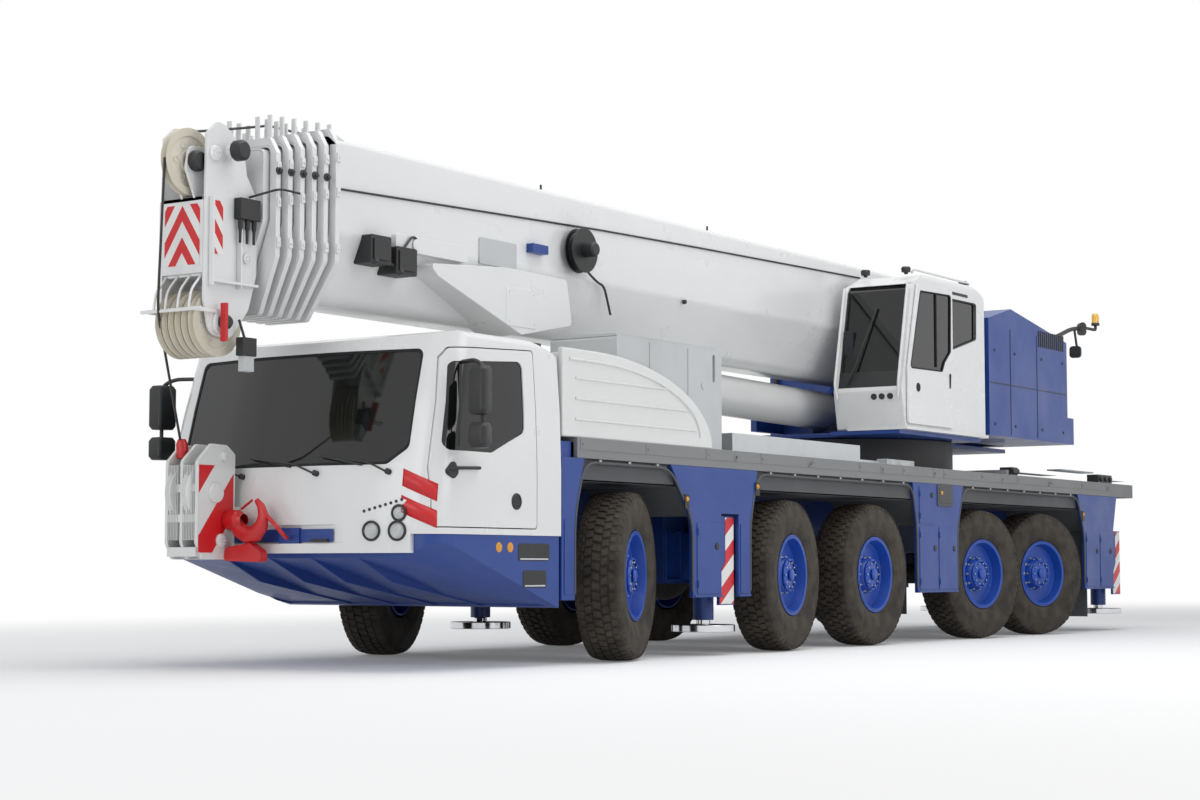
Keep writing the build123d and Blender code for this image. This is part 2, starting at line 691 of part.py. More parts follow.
def boom_base():
    tube = boom_tube(0, BOOM_REAR, BASE_COLLAR_X + COLLAR_T)
    ring, pad = boom_collar(0, BASE_COLLAR_X)
    solid = tube + ring + pad
    # the tail is cut to a nose round the pivot
    solid -= side_plate([(-8700, 3600), (-8150, 3960), (-8700, 3960)], -600, 600)
    solid -= side_plate([(-8700, 2650), (-7500, 2650), (-8700, 3050)], -600, 600)
    boss = bar_y(PIVOT_X, PIVOT_Z, PIVOT_R, -CHEEK_INNER - CHEEK_T, CHEEK_INNER + CHEEK_T)
    boss -= bar_y(PIVOT_X, PIVOT_Z, PIVOT_R + 1, -BOOM_HALF_W + 5, BOOM_HALF_W - 5)
    solid += boss
    # brackets for the luffing cylinder's eye
    ear = [(LUFF_EYE_X - 350, BOOM_BOTTOM + 10), (LUFF_EYE_X - 110, LUFF_EYE_Z - 110),
           (LUFF_EYE_X + 110, LUFF_EYE_Z - 110), (LUFF_EYE_X + 350, BOOM_BOTTOM + 10)]
    ears = side_plate(ear, 130, 190)
    solid += ears + mirrored(ears)
    solid += bar_y(LUFF_EYE_X, LUFF_EYE_Z, LUFF_PIN_R, -190, 190)
    return solid


def boom_head():
    level = SECTIONS
    rear = BOOM_REAR + 560 + 60 * level
    front = BASE_COLLAR_X + COLLAR_STEP * level + 60
    solid = boom_tube(level, rear, front)
    w = boom_outline(level)[1][0]
    cheek = [
        (front - 120, 2880), (front - 40, 2620), (3200, 2300), (3450, 2250), (3800, 2250),
        (3880, 2420), (3900, 3700), (3560, 3950), (3330, 3950), (3180, 3620), (front - 120, 3700),
    ]
    side = side_plate(cheek, w, w + 25)
    solid += side + mirrored(side)
    solid += block(front - 60, front, -w, w, 2870, 3740)
    solid -= bar_y(JIB_BORE_X, JIB_BORE_Z, JIB_BORE_R, -w - 30, w + 30)
    solid += block(3860, 3890, -w, w, 2800, 3260)
    for z in (UPPER_SHEAVE_Z, LOWER_SHEAVE_Z):
        solid += bar_y(SHEAVE_X, z, SHEAVE_PIN_R, -w - 60, w + 60)
    guard = block(SHEAVE_X, FRONT_TIP, w, w + 20, LOWER_SHEAVE_Z + 30, LOWER_SHEAVE_Z + 60)
    solid += guard + mirrored(guard)
    solid += bar_y(FRONT_TIP - 15, LOWER_SHEAVE_Z + 45, 15, -w - 20, w + 20)
    return solid


def head_sheaves():
    """Sheaves side by side on the two head pins."""
    w = boom_outline(SECTIONS)[1][0]
    solids = []
    hole = SHEAVE_PIN_R + FIT
    groove = SHEAVE_R - 35
    count = 6
    pitch = 2 * (w - 20) / count
    for index in range(count):
        y = -w + 20 + pitch * (index + 0.5)
        half = SHEAVE_T / 2
        profile = [
            (hole, -half), (SHEAVE_R, -half), (SHEAVE_R, -half + 8), (groove, -6), (groove, 6),
            (SHEAVE_R, half - 8), (SHEAVE_R, half), (hole, half),
        ]
        wheel = ring_profile(profile)
        solids.append(Pos(SHEAVE_X, y, LOWER_SHEAVE_Z) * wheel)
        if index in (1, 4):
            solids.append(Pos(SHEAVE_X, y, UPPER_SHEAVE_Z) * wheel)
    return solids


# ---- luffing cylinder ----
def luff_cylinder():
    """Barrel with its foot eye, and rod with the eye that the boom's pin goes through."""
    foot = Vector(LUFF_FOOT_X, 0, LUFF_FOOT_Z)
    eye = Vector(LUFF_EYE_X, 0, LUFF_EYE_Z)
    along = (eye - foot).normalized()
    mouth = foot + along * ((eye - foot).length - LUFF_MOUTH)
    barrel = bar_between(foot + along * LUFF_NECK, mouth, LUFF_BARREL_R)
    barrel += bar_between(foot, foot + along * LUFF_NECK, 130)
    barrel += bar_y(LUFF_FOOT_X, LUFF_FOOT_Z, 150, -140, 140)
    barrel -= bar_y(LUFF_FOOT_X, LUFF_FOOT_Z, LUFF_PIN_R + FIT, -300, 300)
    bore_start = foot + along * 330
    barrel -= bar_between(bore_start, mouth + along * 10, LUFF_ROD_R + FIT)
    rod = bar_between(bore_start + along * 20, eye - along * 60, LUFF_ROD_R)
    rod += bar_y(LUFF_EYE_X, LUFF_EYE_Z, 125, -120, 120)
    rod -= bar_y(LUFF_EYE_X, LUFF_EYE_Z, LUFF_PIN_R + FIT, -300, 300)
    return barrel, rod


os.makedirs("parts", exist_ok=True)

for number, x, angle, steered in AXLES:
    for side, word in ((1, "left"), (-1, "right")):
        reach = WHEEL_Y - KINGPIN_Y
        wheel = [Pos(0, reach, 0) * tyre(), Pos(0, reach, 0) * rim()]
        placed = [stand(s, x, side, KINGPIN_Y, angle) for s in wheel]
        export(f"wheel_{number}_{word}", placed)
        if steered:
            export(f"knuckle_{number}_{word}", [stand(knuckle(), x, side, KINGPIN_Y, angle)])

export("axle_beams", [axle_beam(x, steered) for number, x, angle, steered in AXLES])
export("chassis_frame", [chassis_frame()])
export("slewing_ring", [slewing_ring()])
export("carrier_deck", carrier_deck())
export("side_panels", side_panels())
export("mudguards", mudguards())

cab_outer = cab_form(0)
cab_inner = cab_form(CAB_WALL)
cab_glass_inner = cab_form(GLASS)
export("carrier_cab", [carrier_cab(cab_outer, cab_inner)])
export("cab_glass", [cab_glass(cab_outer, cab_glass_inner)])
left_door = carrier_door(cab_outer, cab_inner)
export("carrier_door_left", left_door)
export("carrier_door_right", [mirrored(s) for s in left_door])
export("front_nose", [front_nose()])
export("engine_covers", engine_covers())
export("engine_block", [engine_block()])
export("hook_block", [hook_block()])

for place, left_x, right_x in OUTRIGGERS:
    for side, word, x in ((1, "left", left_x), (-1, "right", right_x)):
        beam, extension, foot = outrigger(x, side)
        export(f"outrigger_{place}_{word}_beam", [beam])
        export(f"outrigger_{place}_{word}_extension", [extension])
        export(f"outrigger_{place}_{word}_foot", [foot])

export("turntable", [turntable()])
export("crane_cab", [crane_cab()])
export("crane_cab_glass", crane_cab_glass())
export("crane_cab_door", crane_cab_door())
export("tail_housing", tail_housing())
export("hoist_winch", [hoist_winch()])

export("boom_base", [boom_base()])
for level in range(1, SECTIONS):
    export(f"boom_section_{level}", [boom_section(level)])
export("boom_head", [boom_head()])
export("head_sheaves", head_sheaves())
barrel, rod = luff_cylinder()
export("luff_barrel", [barrel])
export("luff_rod", [rod])
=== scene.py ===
import bpy
import bmesh
import json
import math
from mathutils import Matrix, Vector


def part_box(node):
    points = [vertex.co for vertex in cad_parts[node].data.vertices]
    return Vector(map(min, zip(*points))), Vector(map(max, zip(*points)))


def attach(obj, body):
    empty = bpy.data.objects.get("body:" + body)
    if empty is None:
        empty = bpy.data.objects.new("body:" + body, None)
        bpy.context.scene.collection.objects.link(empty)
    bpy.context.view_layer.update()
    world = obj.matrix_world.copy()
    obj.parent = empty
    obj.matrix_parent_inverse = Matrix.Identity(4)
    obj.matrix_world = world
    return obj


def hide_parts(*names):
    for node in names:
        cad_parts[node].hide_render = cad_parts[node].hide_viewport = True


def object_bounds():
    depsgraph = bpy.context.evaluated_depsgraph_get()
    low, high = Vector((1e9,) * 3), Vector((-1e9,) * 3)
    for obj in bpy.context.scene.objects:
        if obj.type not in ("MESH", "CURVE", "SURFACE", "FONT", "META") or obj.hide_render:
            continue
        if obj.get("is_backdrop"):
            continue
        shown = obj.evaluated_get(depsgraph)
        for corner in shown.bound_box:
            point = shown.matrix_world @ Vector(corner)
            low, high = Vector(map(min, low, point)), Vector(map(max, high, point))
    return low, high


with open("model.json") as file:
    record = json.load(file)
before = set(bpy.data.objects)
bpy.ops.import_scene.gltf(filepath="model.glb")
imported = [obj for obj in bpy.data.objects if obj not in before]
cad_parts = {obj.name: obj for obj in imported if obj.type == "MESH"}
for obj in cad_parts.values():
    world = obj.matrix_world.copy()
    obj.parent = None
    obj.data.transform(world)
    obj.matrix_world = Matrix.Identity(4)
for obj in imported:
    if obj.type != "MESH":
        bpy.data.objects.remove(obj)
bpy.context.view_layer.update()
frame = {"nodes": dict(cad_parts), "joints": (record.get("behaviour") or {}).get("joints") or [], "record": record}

# The view: a long lens held low at the crane's front left corner, far enough away that the long
# vehicle keeps its proportions. It stands on a tripod, aimed a little upwards.
joints = {joint["name"]: joint for joint in frame["joints"]}
axle_x = joints["steering"]["pos_m"][0]
eye = Vector((axle_x + 14.76, 10.98, 0.75))
heading = math.radians(213.94)
climb = math.radians(4.38)
lens_mm = 65.67
sensor_mm = 36.0
camera_data = bpy.data.cameras.new("camera")
camera_data.sensor_width = sensor_mm
camera_data.lens = lens_mm
camera_data.clip_end = 200.0
camera = bpy.data.objects.new("camera", camera_data)
camera.location = eye
camera.rotation_euler = (math.pi / 2 + climb, 0, heading - math.pi / 2)
bpy.context.scene.collection.objects.link(camera)
bpy.context.scene.camera = camera


# The studio: a plain pale floor that runs out into a white surround, a broad overhead softbox
# and two side lights. A camera, glossy or glass ray sees the world as plain white.
def linear(code):
    """An sRGB hex colour as linear RGBA."""
    channels = [int(code[i:i + 2], 16) / 255 for i in (1, 3, 5)]
    return [c / 12.92 if c <= 0.04045 else ((c + 0.055) / 1.055) ** 2.4 for c in channels] + [1.0]


def add(tree, kind, links=None, **settings):
    """One shader node: settings go to its properties or sockets, links to its inputs."""
    node = tree.nodes.new(kind)
    for name, value in settings.items():
        if hasattr(node, name):
            setattr(node, name, value)
        else:
            node.inputs[name.replace("_", " ")].default_value = value
    for name, source in (links or {}).items():
        tree.links.new(source, node.inputs[name])
    return node


def blank(name):
    """A new material with an empty node tree."""
    material = bpy.data.materials.new(name)
    material.use_nodes = True
    material.node_tree.nodes.clear()
    return material, material.node_tree


scene = bpy.context.scene
scene.view_settings.view_transform = "Standard"
world = bpy.data.worlds.new("studio")
scene.world = world
world.use_nodes = True
world.node_tree.nodes.clear()
sky = world.node_tree
seen = add(sky, "ShaderNodeLightPath")
straight = add(sky, "ShaderNodeMath", {0: seen.outputs["Is Camera Ray"], 1: seen.outputs["Is Glossy Ray"]},
               operation="MAXIMUM")
straight = add(sky, "ShaderNodeMath", {0: straight.outputs[0], 1: seen.outputs["Is Transmission Ray"]},
               operation="MAXIMUM")
fill = add(sky, "ShaderNodeBackground", Color=linear("#F4F6FA"), Strength=0.42)
white = add(sky, "ShaderNodeBackground", Color=linear("#FFFFFF"), Strength=1.0)
mixed = add(sky, "ShaderNodeMixShader", {0: straight.outputs[0], 1: fill.outputs[0], 2: white.outputs[0]})
add(sky, "ShaderNodeOutputWorld", {0: mixed.outputs[0]})

# each lamp's place, what it points at, its width in metres and its power in watts
for name, place, aim, size, power in (
        ("softbox_top", (2.0, 4.0, 14.0), (0, 0, 1), 14.0, 1300.0),
        ("softbox_left", (3.0, 17.0, 7.0), (0, 0, 1.5), 9.0, 620.0),
        ("softbox_front", (20.0, 0.0, 6.0), (4, 0, 1.5), 8.0, 520.0)):
    lamp_data = bpy.data.lights.new(name, "AREA")
    lamp_data.size = size
    lamp_data.energy = power
    lamp = bpy.data.objects.new(name, lamp_data)
    lamp.location = place
    lamp.rotation_euler = (Vector(aim) - Vector(place)).to_track_quat("-Z", "Y").to_euler()
    scene.collection.objects.link(lamp)

floor_mesh = bpy.data.meshes.new("floor")
reach = 90.0
floor_mesh.from_pydata([(-reach, -reach, 0), (reach, -reach, 0), (reach, reach, 0), (-reach, reach, 0)],
                       [], [(0, 1, 2, 3)])
floor = bpy.data.objects.new("floor", floor_mesh)
scene.collection.objects.link(floor)
# Matt white floor: under the crane it takes the shadow, further out it fades into the white surround.
floor_paint, tree = blank("studio floor")
shade_from, shade_to, shade_least = 3.0, 15.0, 0.12
spot = add(tree, "ShaderNodeTexCoord")
stretch = add(tree, "ShaderNodeMapping", {0: spot.outputs["Object"]}, Scale=(0.42, 1.0, 1.0))
distance = add(tree, "ShaderNodeVectorMath", {0: stretch.outputs[0]}, operation="LENGTH")
fade = add(tree, "ShaderNodeMapRange", {0: distance.outputs["Value"]}, interpolation_type="SMOOTHSTEP",
           From_Min=shade_from, From_Max=shade_to, To_Min=shade_least, To_Max=1.0)
seen = add(tree, "ShaderNodeLightPath")
direct = add(tree, "ShaderNodeMath", {0: seen.outputs["Is Camera Ray"], 1: seen.outputs["Is Glossy Ray"]},
             operation="MAXIMUM")
share = add(tree, "ShaderNodeMath", {0: fade.outputs[0], 1: direct.outputs[0]}, operation="MULTIPLY")
matt = add(tree, "ShaderNodeBsdfDiffuse", Color=linear("#FBFBFB"))
plain = add(tree, "ShaderNodeEmission", Color=linear("#FFFFFF"), Strength=1.0)
mixed = add(tree, "ShaderNodeMixShader", {0: share.outputs[0], 1: matt.outputs[0], 2: plain.outputs[0]})
add(tree, "ShaderNodeOutputMaterial", {0: mixed.outputs[0]})
floor_mesh.materials.append(floor_paint)
floor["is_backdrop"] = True


# The carrier frame with its axles: welded steel boxes and cast beams, sprayed in the same blue as
# the panels and dulled by road dust. The axles, the steering knuckles and the engine are black.
def two_tone(tree, share, code, other):
    """Two colours mixed by a pattern."""
    tone = add(tree, "ShaderNodeMix", {0: share}, data_type="RGBA")
    tone.inputs[6].default_value = linear(code)
    tone.inputs[7].default_value = linear(other)
    return tone.outputs[2]


def surface(tree, links, **settings):
    """The material's surface, from its linked patterns and its constant settings."""
    shader = add(tree, "ShaderNodeBsdfPrincipled", links, **settings)
    add(tree, "ShaderNodeOutputMaterial", {0: shader.outputs[0]})


def coated(name, code, roughness, dust="#8C867C", dust_share=0.22, peel_mm=2.5, clear=0.5, metal=0.0):
    """Sprayed enamel: a clear, slightly rippled film, with dust in soft patches."""
    material, tree = blank(name)
    spot = add(tree, "ShaderNodeTexCoord")
    patches = add(tree, "ShaderNodeTexNoise", {0: spot.outputs["Object"]}, Scale=1.6, Detail=9.0,
                  Roughness=0.62)
    amount = add(tree, "ShaderNodeMapRange", {0: patches.outputs[0]}, From_Min=0.45, From_Max=0.85,
                 To_Min=0.0, To_Max=dust_share)
    colour = two_tone(tree, amount.outputs[0], code, dust)
    gloss = add(tree, "ShaderNodeMapRange", {0: patches.outputs[0]}, From_Min=0.3, From_Max=0.8,
                To_Min=roughness * 0.8, To_Max=roughness * 1.5)
    ripple = add(tree, "ShaderNodeTexNoise", {0: spot.outputs["Object"]}, Scale=1000 / peel_mm / 6,
                 Detail=2.0)
    bump = add(tree, "ShaderNodeBump", {"Height": ripple.outputs[0]}, Strength=0.05, Distance=0.001)
    surface(tree, {"Base Color": colour, "Roughness": gloss.outputs[0], "Normal": bump.outputs[0]},
            Metallic=metal, Coat_Weight=clear, Coat_Roughness=0.08)
    return material


def borrowed(*nodes):
    """The surface of CAD nodes, with coplanar triangles joined back into whole faces."""
    bm = bmesh.new()
    for node in nodes:
        bm.from_mesh(frame["nodes"][node].data)
    for face in bm.faces:
        face.material_index = 0
    bmesh.ops.remove_doubles(bm, verts=bm.verts, dist=0.00005)
    bmesh.ops.dissolve_limit(bm, angle_limit=math.radians(1.0), verts=bm.verts, edges=bm.edges)
    return bm


def at(x, y, z):
    """A place measured from the road under the middle of the first axle."""
    return Vector((axle_x + x, y, z))


def slab(bm, outline, axis, low, high, finish=0):
    """Plate of an outline in the plane across an axis (0, 1 or 2), between two places along it."""
    rings = []
    for level in (low, high):
        ring = []
        for point in outline:
            place = list(point)
            place.insert(axis, level)
            ring.append(bm.verts.new(at(*place)))
        rings.append(ring)
    for face in [bm.faces.new(ring) for ring in rings]:
        face.material_index = finish
    walled(bm, rings, finish)


def walled(bm, rings, finish=0):
    """Faces between each ring of points and the next."""
    for low, high in zip(rings, rings[1:]):
        for i in range(len(low)):
            bm.faces.new((low[i - 1], low[i], high[i], high[i - 1])).material_index = finish


def brick(bm, x0, x1, y0, y1, z0, z1, finish=0):
    """Plain block between two corners."""
    slab(bm, [(y0, z0), (y1, z0), (y1, z1), (y0, z1)], 0, x0, x1, finish)


def rounded(outline, radius, steps=5):
    """A closed outline with each corner turned into an arc."""
    radii = radius if isinstance(radius, list) else [radius] * len(outline)
    corners = [Vector(point) for point in outline]
    result = []
    for i, corner in enumerate(corners):
        before = corners[i - 1] - corner
        after = corners[(i + 1) % len(corners)] - corner
        half = before.angle(after) / 2
        reach = min(radii[i] / math.tan(half), 0.49 * before.length, 0.49 * after.length)
        if reach < 1e-5:
            result.append(corner)
            continue
        before, after = before.normalized(), after.normalized()
        centre = corner + (before + after).normalized() * (reach / math.cos(half))
        start, end = corner + before * reach - centre, corner + after * reach - centre
        for step in range(steps + 1):
            ray = start.lerp(end, step / steps)
            result.append(centre + ray.normalized() * start.length)
    return [tuple(point) for point in result]


def rounded_plate(bm, x0, x1, z0, z1, y0, y1, radius, finish=0):
    """Upright plate along the crane, between two corners and two sides, its corners rounded."""
    slab(bm, rounded([(x0, z0), (x0, z1), (x1, z1), (x1, z0)], radius), 1, y0, y1, finish)


def lathe(bm, profile, centre, axis, steps=32, finish=0):
    """Surface turned about an axis through centre, from (radius, distance along it) points."""
    along = Vector(axis).normalized()
    side = along.orthogonal().normalized()
    up = along.cross(side)
    rings = []
    for radius, height in profile:
        if radius < 1e-6:
            rings.append([bm.verts.new(centre + along * height)] * steps)
            continue
        turns = [2 * math.pi * step / steps for step in range(steps)]
        mid = centre + along * height
        rings.append([bm.verts.new(mid + (side * math.cos(t) + up * math.sin(t)) * radius) for t in turns])
    faces = []
    for low, high in zip(rings, rings[1:]):
        for i in range(steps):
            corners = list(dict.fromkeys((low[i - 1], low[i], high[i], high[i - 1])))
            if len(corners) > 2:
                faces.append(bm.faces.new(corners))
    for face in faces:
        face.material_index = finish
    return faces


def bolt(bm, centre, axis, radius, height, crown=0.001, finish=0):
    """Hexagon head standing on a face, with a slightly raised middle."""
    lathe(bm, [(radius, 0), (radius, height), (0, height + crown)], centre, axis, 6, finish)


def bolt_ring(bm, centre, axis, ring, count, radius, height, crown=0.001, start=0.0):
    """Bolt heads spaced evenly on a circle across the y or the z axis."""
    for index in range(count):
        turn = 2 * math.pi * (index + start) / count
        ray = (math.cos(turn), 0, math.sin(turn)) if axis[1] else (math.cos(turn), math.sin(turn), 0)
        bolt(bm, centre + Vector(ray) * ring, axis, radius, height, crown)


def pipe(bm, points, radius, bend=0.0, sides=10, finish=0):
    """Round bar or hose along points, its inner corners bent to a radius."""
    points = [Vector(point) for point in points]
    path = [points[0]]
    for before, corner, after in zip(points, points[1:], points[2:]):
        back, on = (before - corner), (after - corner)
        reach = min(bend, 0.45 * back.length, 0.45 * on.length)
        start, end = corner + back.normalized() * reach, corner + on.normalized() * reach
        steps = 5 if reach > 0.001 else 0
        path += [start.lerp(corner, t).lerp(corner.lerp(end, t), t) for t in
                 [step / steps for step in range(steps + 1)]] if steps else [corner]
    path.append(points[-1])
    side = (path[1] - path[0]).orthogonal().normalized()
    rings = []
    for i, place in enumerate(path):
        ahead = (path[min(i + 1, len(path) - 1)] - path[max(i - 1, 0)]).normalized()
        side = (side - ahead * side.dot(ahead)).normalized()
        up = ahead.cross(side)
        turns = [2 * math.pi * step / sides for step in range(sides)]
        rings.append([bm.verts.new(place + (side * math.cos(t) + up * math.sin(t)) * radius) for t in turns])
    for ring in (rings[0], rings[-1]):
        bm.faces.new(ring).material_index = finish
    walled(bm, rings, finish)


def mirrored(bm):
    """The same again on the other side of the crane."""
    copy = bmesh.ops.duplicate(bm, geom=bm.verts[:] + bm.edges[:] + bm.faces[:])["geom"]
    for vert in copy:
        if isinstance(vert, bmesh.types.BMVert):
            vert.co.y = -vert.co.y
    bmesh.ops.reverse_faces(bm, faces=[face for face in copy if isinstance(face, bmesh.types.BMFace)])


def cut_by(bm, place, normal, **more):
    """Cut all of a form by a plane."""
    bmesh.ops.bisect_plane(bm, geom=bm.verts[:] + bm.edges[:] + bm.faces[:], plane_co=place, plane_no=normal,
                           **more)


def piece(name, bm, body, finishes, edge=0.003, stands_for=(), sharp=35.0):
    """A finished object: smooth where it is round, its sharp edges broken, riding on a body."""
    bmesh.ops.recalc_face_normals(bm, faces=bm.faces)
    mesh = bpy.data.meshes.new(name)
    bm.to_mesh(mesh)
    bm.free()
    for finish in finishes:
        mesh.materials.append(finish)
    mesh.shade_smooth()
    mesh.set_sharp_from_angle(angle=math.radians(sharp))
    thing = bpy.data.objects.new(name, mesh)
    scene.collection.objects.link(thing)
    if edge:
        broken = thing.modifiers.new("broken edges", "BEVEL")
        broken.width = edge
        broken.segments = 2
        broken.limit_method = "ANGLE"
        broken.angle_limit = math.radians(sharp)
        broken.harden_normals = True
    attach(thing, body)
    if stands_for:
        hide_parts(*stands_for)
    return thing


# Semi-gloss blue enamel of the chassis parts, a shade darker than the panels under its dust.
frame_blue = coated("blue chassis enamel", "#10306F", 0.5, dust="#3C3F48", dust_share=0.4, clear=0.05)
# Black chassis primer on cast iron: rough and uneven.
cast_black = coated("black cast iron", "#26272A", 0.6, dust="#5A554E", dust_share=0.4, peel_mm=6, clear=0.0)
piece("frame_box", borrowed("chassis_frame"), "carrier", [frame_blue], 0.008,
      ["chassis_frame"])
piece("axle_castings", borrowed("axle_beams"), "carrier", [cast_black], 0.008, ["axle_beams"])
piece("engine_mass", borrowed("engine_block"), "carrier", [cast_black], 0.01, ["engine_block"])
for name in frame["nodes"]:
    if name.startswith("knuckle"):
        body = next(body for body, nodes in frame["record"]["behaviour"]["bodies"].items() if name in nodes)
        piece(name + "_casting", borrowed(name), body, [cast_black], 0.006, [name])


# The wheels: wide single tyres on steel rims. The carcass is moulded rubber with a block tread; the
# rim is a rolled band with a pressed disc, ten nuts and a planetary hub, sprayed bright blue.
def rubber(name, code, worn):
    """Vulcanised rubber: brown-black and matt, greyed by dust in the wear patches."""
    material, tree = blank(name)
    spot = add(tree, "ShaderNodeTexCoord")
    patches = add(tree, "ShaderNodeTexNoise", {0: spot.outputs["Object"]}, Scale=7.0, Detail=8.0)
    amount = add(tree, "ShaderNodeMapRange", {0: patches.outputs[0]}, From_Min=0.35, From_Max=0.75)
    colour = two_tone(tree, amount.outputs[0], code, worn)
    grain = add(tree, "ShaderNodeTexNoise", {0: spot.outputs["Object"]}, Scale=260.0, Detail=3.0)
    bump = add(tree, "ShaderNodeBump", {"Height": grain.outputs[0]}, Strength=0.25, Distance=0.001)
    surface(tree, {"Base Color": colour, "Normal": bump.outputs[0]}, Roughness=0.78, Specular_IOR_Level=0.35)
    return material


tread_rubber = rubber("vulcanised tread rubber", "#2B2723", "#4B453D")
wheel_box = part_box("wheel_3_left")
wheel_middle = (wheel_box[0] + wheel_box[1]) / 2
tyre_r = (wheel_box[1].z - wheel_box[0].z) / 2
tyre_half = (wheel_box[1].y - wheel_box[0].y) / 2
groove_depth = 0.017
blocks_round = 56
carcass_steps = 2 * blocks_round
origin = Vector((0, 0, 0))
base_r = tyre_r - groove_depth
side_profile = [
    (0.365, 0.146), (0.372, 0.158), (0.392, 0.163), (0.400, 0.170), (0.424, 0.1745), (0.430, 0.180),
    (0.470, 0.186), (0.476, 0.189), (0.540, 0.1915), (0.546, 0.1895), (0.590, 0.1885), (0.618, 0.184),
    (0.640, 0.176), (base_r - 0.008, 0.168), (base_r, 0.156),
]
carcass = [(r, -y) for r, y in side_profile] + [(base_r, 0.0)] + list(reversed(side_profile))
bm = bmesh.new()
lathe(bm, carcass, origin, (0, 1, 0), carcass_steps)


def tread_block(bm, turn, width, y0, y1, skew, drop=0.0):
    """One block: a four-sided stud, its face smaller than its foot, slanted along the tread."""
    corners = []
    for lift, shrink in ((0.0, 0.0), (groove_depth - 0.003, 0.06), (groove_depth, 0.12)):
        ring = []
        for along, across in ((-1, y0), (1, y0), (1, y1), (-1, y1)):
            middle = (y0 + y1) / 2
            y = middle + (across - middle) * (1 - shrink)
            angle = turn + along * width * (1 - shrink) / 2 + skew * (across - middle)
            crown = 0.010 * (abs(y) / tyre_half) ** 2
            fall = drop if abs(across) > 0.15 else 0.0
            r = base_r - 0.001 + lift - crown * (lift > 0) - fall
            ring.append(bm.verts.new((r * math.sin(angle), y, r * math.cos(angle))))
        corners.append(ring)
    bm.faces.new(corners[-1])
    walled(bm, corners)


pitch = 2 * math.pi / blocks_round
# y of both sides of each row of blocks, its start within the pitch, its length as a share of the
# pitch, its slant, and how far the outer side falls at the shoulder
rows = [
    (-0.034, 0.034, 0.0, 0.74, 2.2, 0.0),
    (0.042, 0.096, 0.5, 0.76, -2.6, 0.0), (-0.096, -0.042, 0.5, 0.76, -2.6, 0.0),
    (0.106, 0.176, 0.05, 0.66, 0.5, 0.012), (-0.176, -0.106, 0.05, 0.66, 0.5, 0.012),
]
for index in range(blocks_round):
    for y0, y1, start, share, skew, drop in rows:
        tread_block(bm, (index + start) * pitch, share * pitch, y0, y1, skew * pitch, drop)
    for side in (1, -1):
        middle = (index + 0.05) * pitch
        ring = []
        for r, y in ((base_r + 0.001, 0.160), (0.646, 0.1795), (0.634, 0.184)):
            ring += [(r, y, -0.28), (r, y, 0.28)]
        verts = [bm.verts.new((r * math.sin(middle + a * pitch), side * y, r * math.cos(middle + a * pitch)))
                 for r, y, a in ring]
        feet = [bm.verts.new(v.co - Vector((0, side * 0.008, 0))) for v in verts]
        bm.faces.new((verts[0], verts[1], verts[3], verts[2]))
        bm.faces.new((verts[2], verts[3], verts[5], verts[4]))
        for a, b in ((0, 2), (2, 4), (1, 3), (3, 5), (4, 5)):
            bm.faces.new((verts[a], verts[b], feet[b], feet[a]))
bmesh.ops.recalc_face_normals(bm, faces=bm.faces)
tyre_mesh = bpy.data.meshes.new("tyre")
bm.to_mesh(tyre_mesh)
bm.free()
tyre_mesh.materials.append(tread_rubber)
tyre_mesh.shade_smooth()
tyre_mesh.set_sharp_from_angle(angle=math.radians(28))

# Bright blue wheel enamel: fresh paint, glossy, with brake dust in soft patches.
rim_blue = coated("blue wheel enamel", "#0B44A4", 0.4, dust="#22304E", dust_share=0.35, clear=0.15)
# Zinc-plated nuts: pale, slightly yellow steel.
zinc = coated("zinc-plated steel", "#A9ABA6", 0.35, dust="#6B6459", dust_share=0.3, clear=0.0, metal=1.0)
bm = borrowed("wheel_3_left")
bmesh.ops.translate(bm, verts=bm.verts, vec=-wheel_middle)
far = [vert for vert in bm.verts if math.hypot(vert.co.x, vert.co.z) > 0.3625]
tyre_verts, edge_of = set(far), list(far)
while edge_of:
    vert = edge_of.pop()
    for edge in vert.link_edges:
        other = edge.other_vert(vert)
        if other not in tyre_verts:
            tyre_verts.add(other)
            edge_of.append(other)
bmesh.ops.delete(bm, geom=list(tyre_verts), context="VERTS")
out = Vector((0, 1, 0))
nut_ring, nut_r, cap_bolt_ring = 0.1675, 0.015, 0.112
hub_face, disc_face = 0.150, 0.045
lathe(bm, [(0.0, 0.168), (0.045, 0.166), (0.055, 0.158), (0.055, 0.148)], origin, out, 24)
lathe(bm, [(0.128, 0.142), (0.150, 0.136), (0.152, 0.120), (0.150, 0.118)], origin, out, 40)
for index in range(10):
    turn = 2 * math.pi * (index + 0.5) / 10
    ray = Vector((math.sin(turn), 0, math.cos(turn)))
    lathe(bm, [(0.024, 0), (0.024, 0.006), (nut_r, 0.006), (nut_r, 0.03), (0.010, 0.034), (0.010, 0.044),
               (0, 0.045)], ray * nut_ring + out * disc_face, out, 6, 1)
    bolt(bm, ray * cap_bolt_ring + out * (hub_face - 0.012), out, 0.009, 0.008, finish=1)
    bolt(bm, ray * 0.139 + out * 0.138, out, 0.010, 0.010)
lathe(bm, [(0.346, 0.10), (0.352, 0.10), (0.352, 0.150), (0.362, 0.156), (0.366, 0.163), (0.360, 0.165),
           (0.344, 0.160), (0.342, 0.12), (0.332, 0.10)], origin, out, 64)
bmesh.ops.recalc_face_normals(bm, faces=bm.faces)
rim_mesh = bpy.data.meshes.new("rim")
bm.to_mesh(rim_mesh)
bm.free()
rim_mesh.materials.append(rim_blue)
rim_mesh.materials.append(zinc)
rim_mesh.shade_smooth()
rim_mesh.set_sharp_from_angle(angle=math.radians(35))
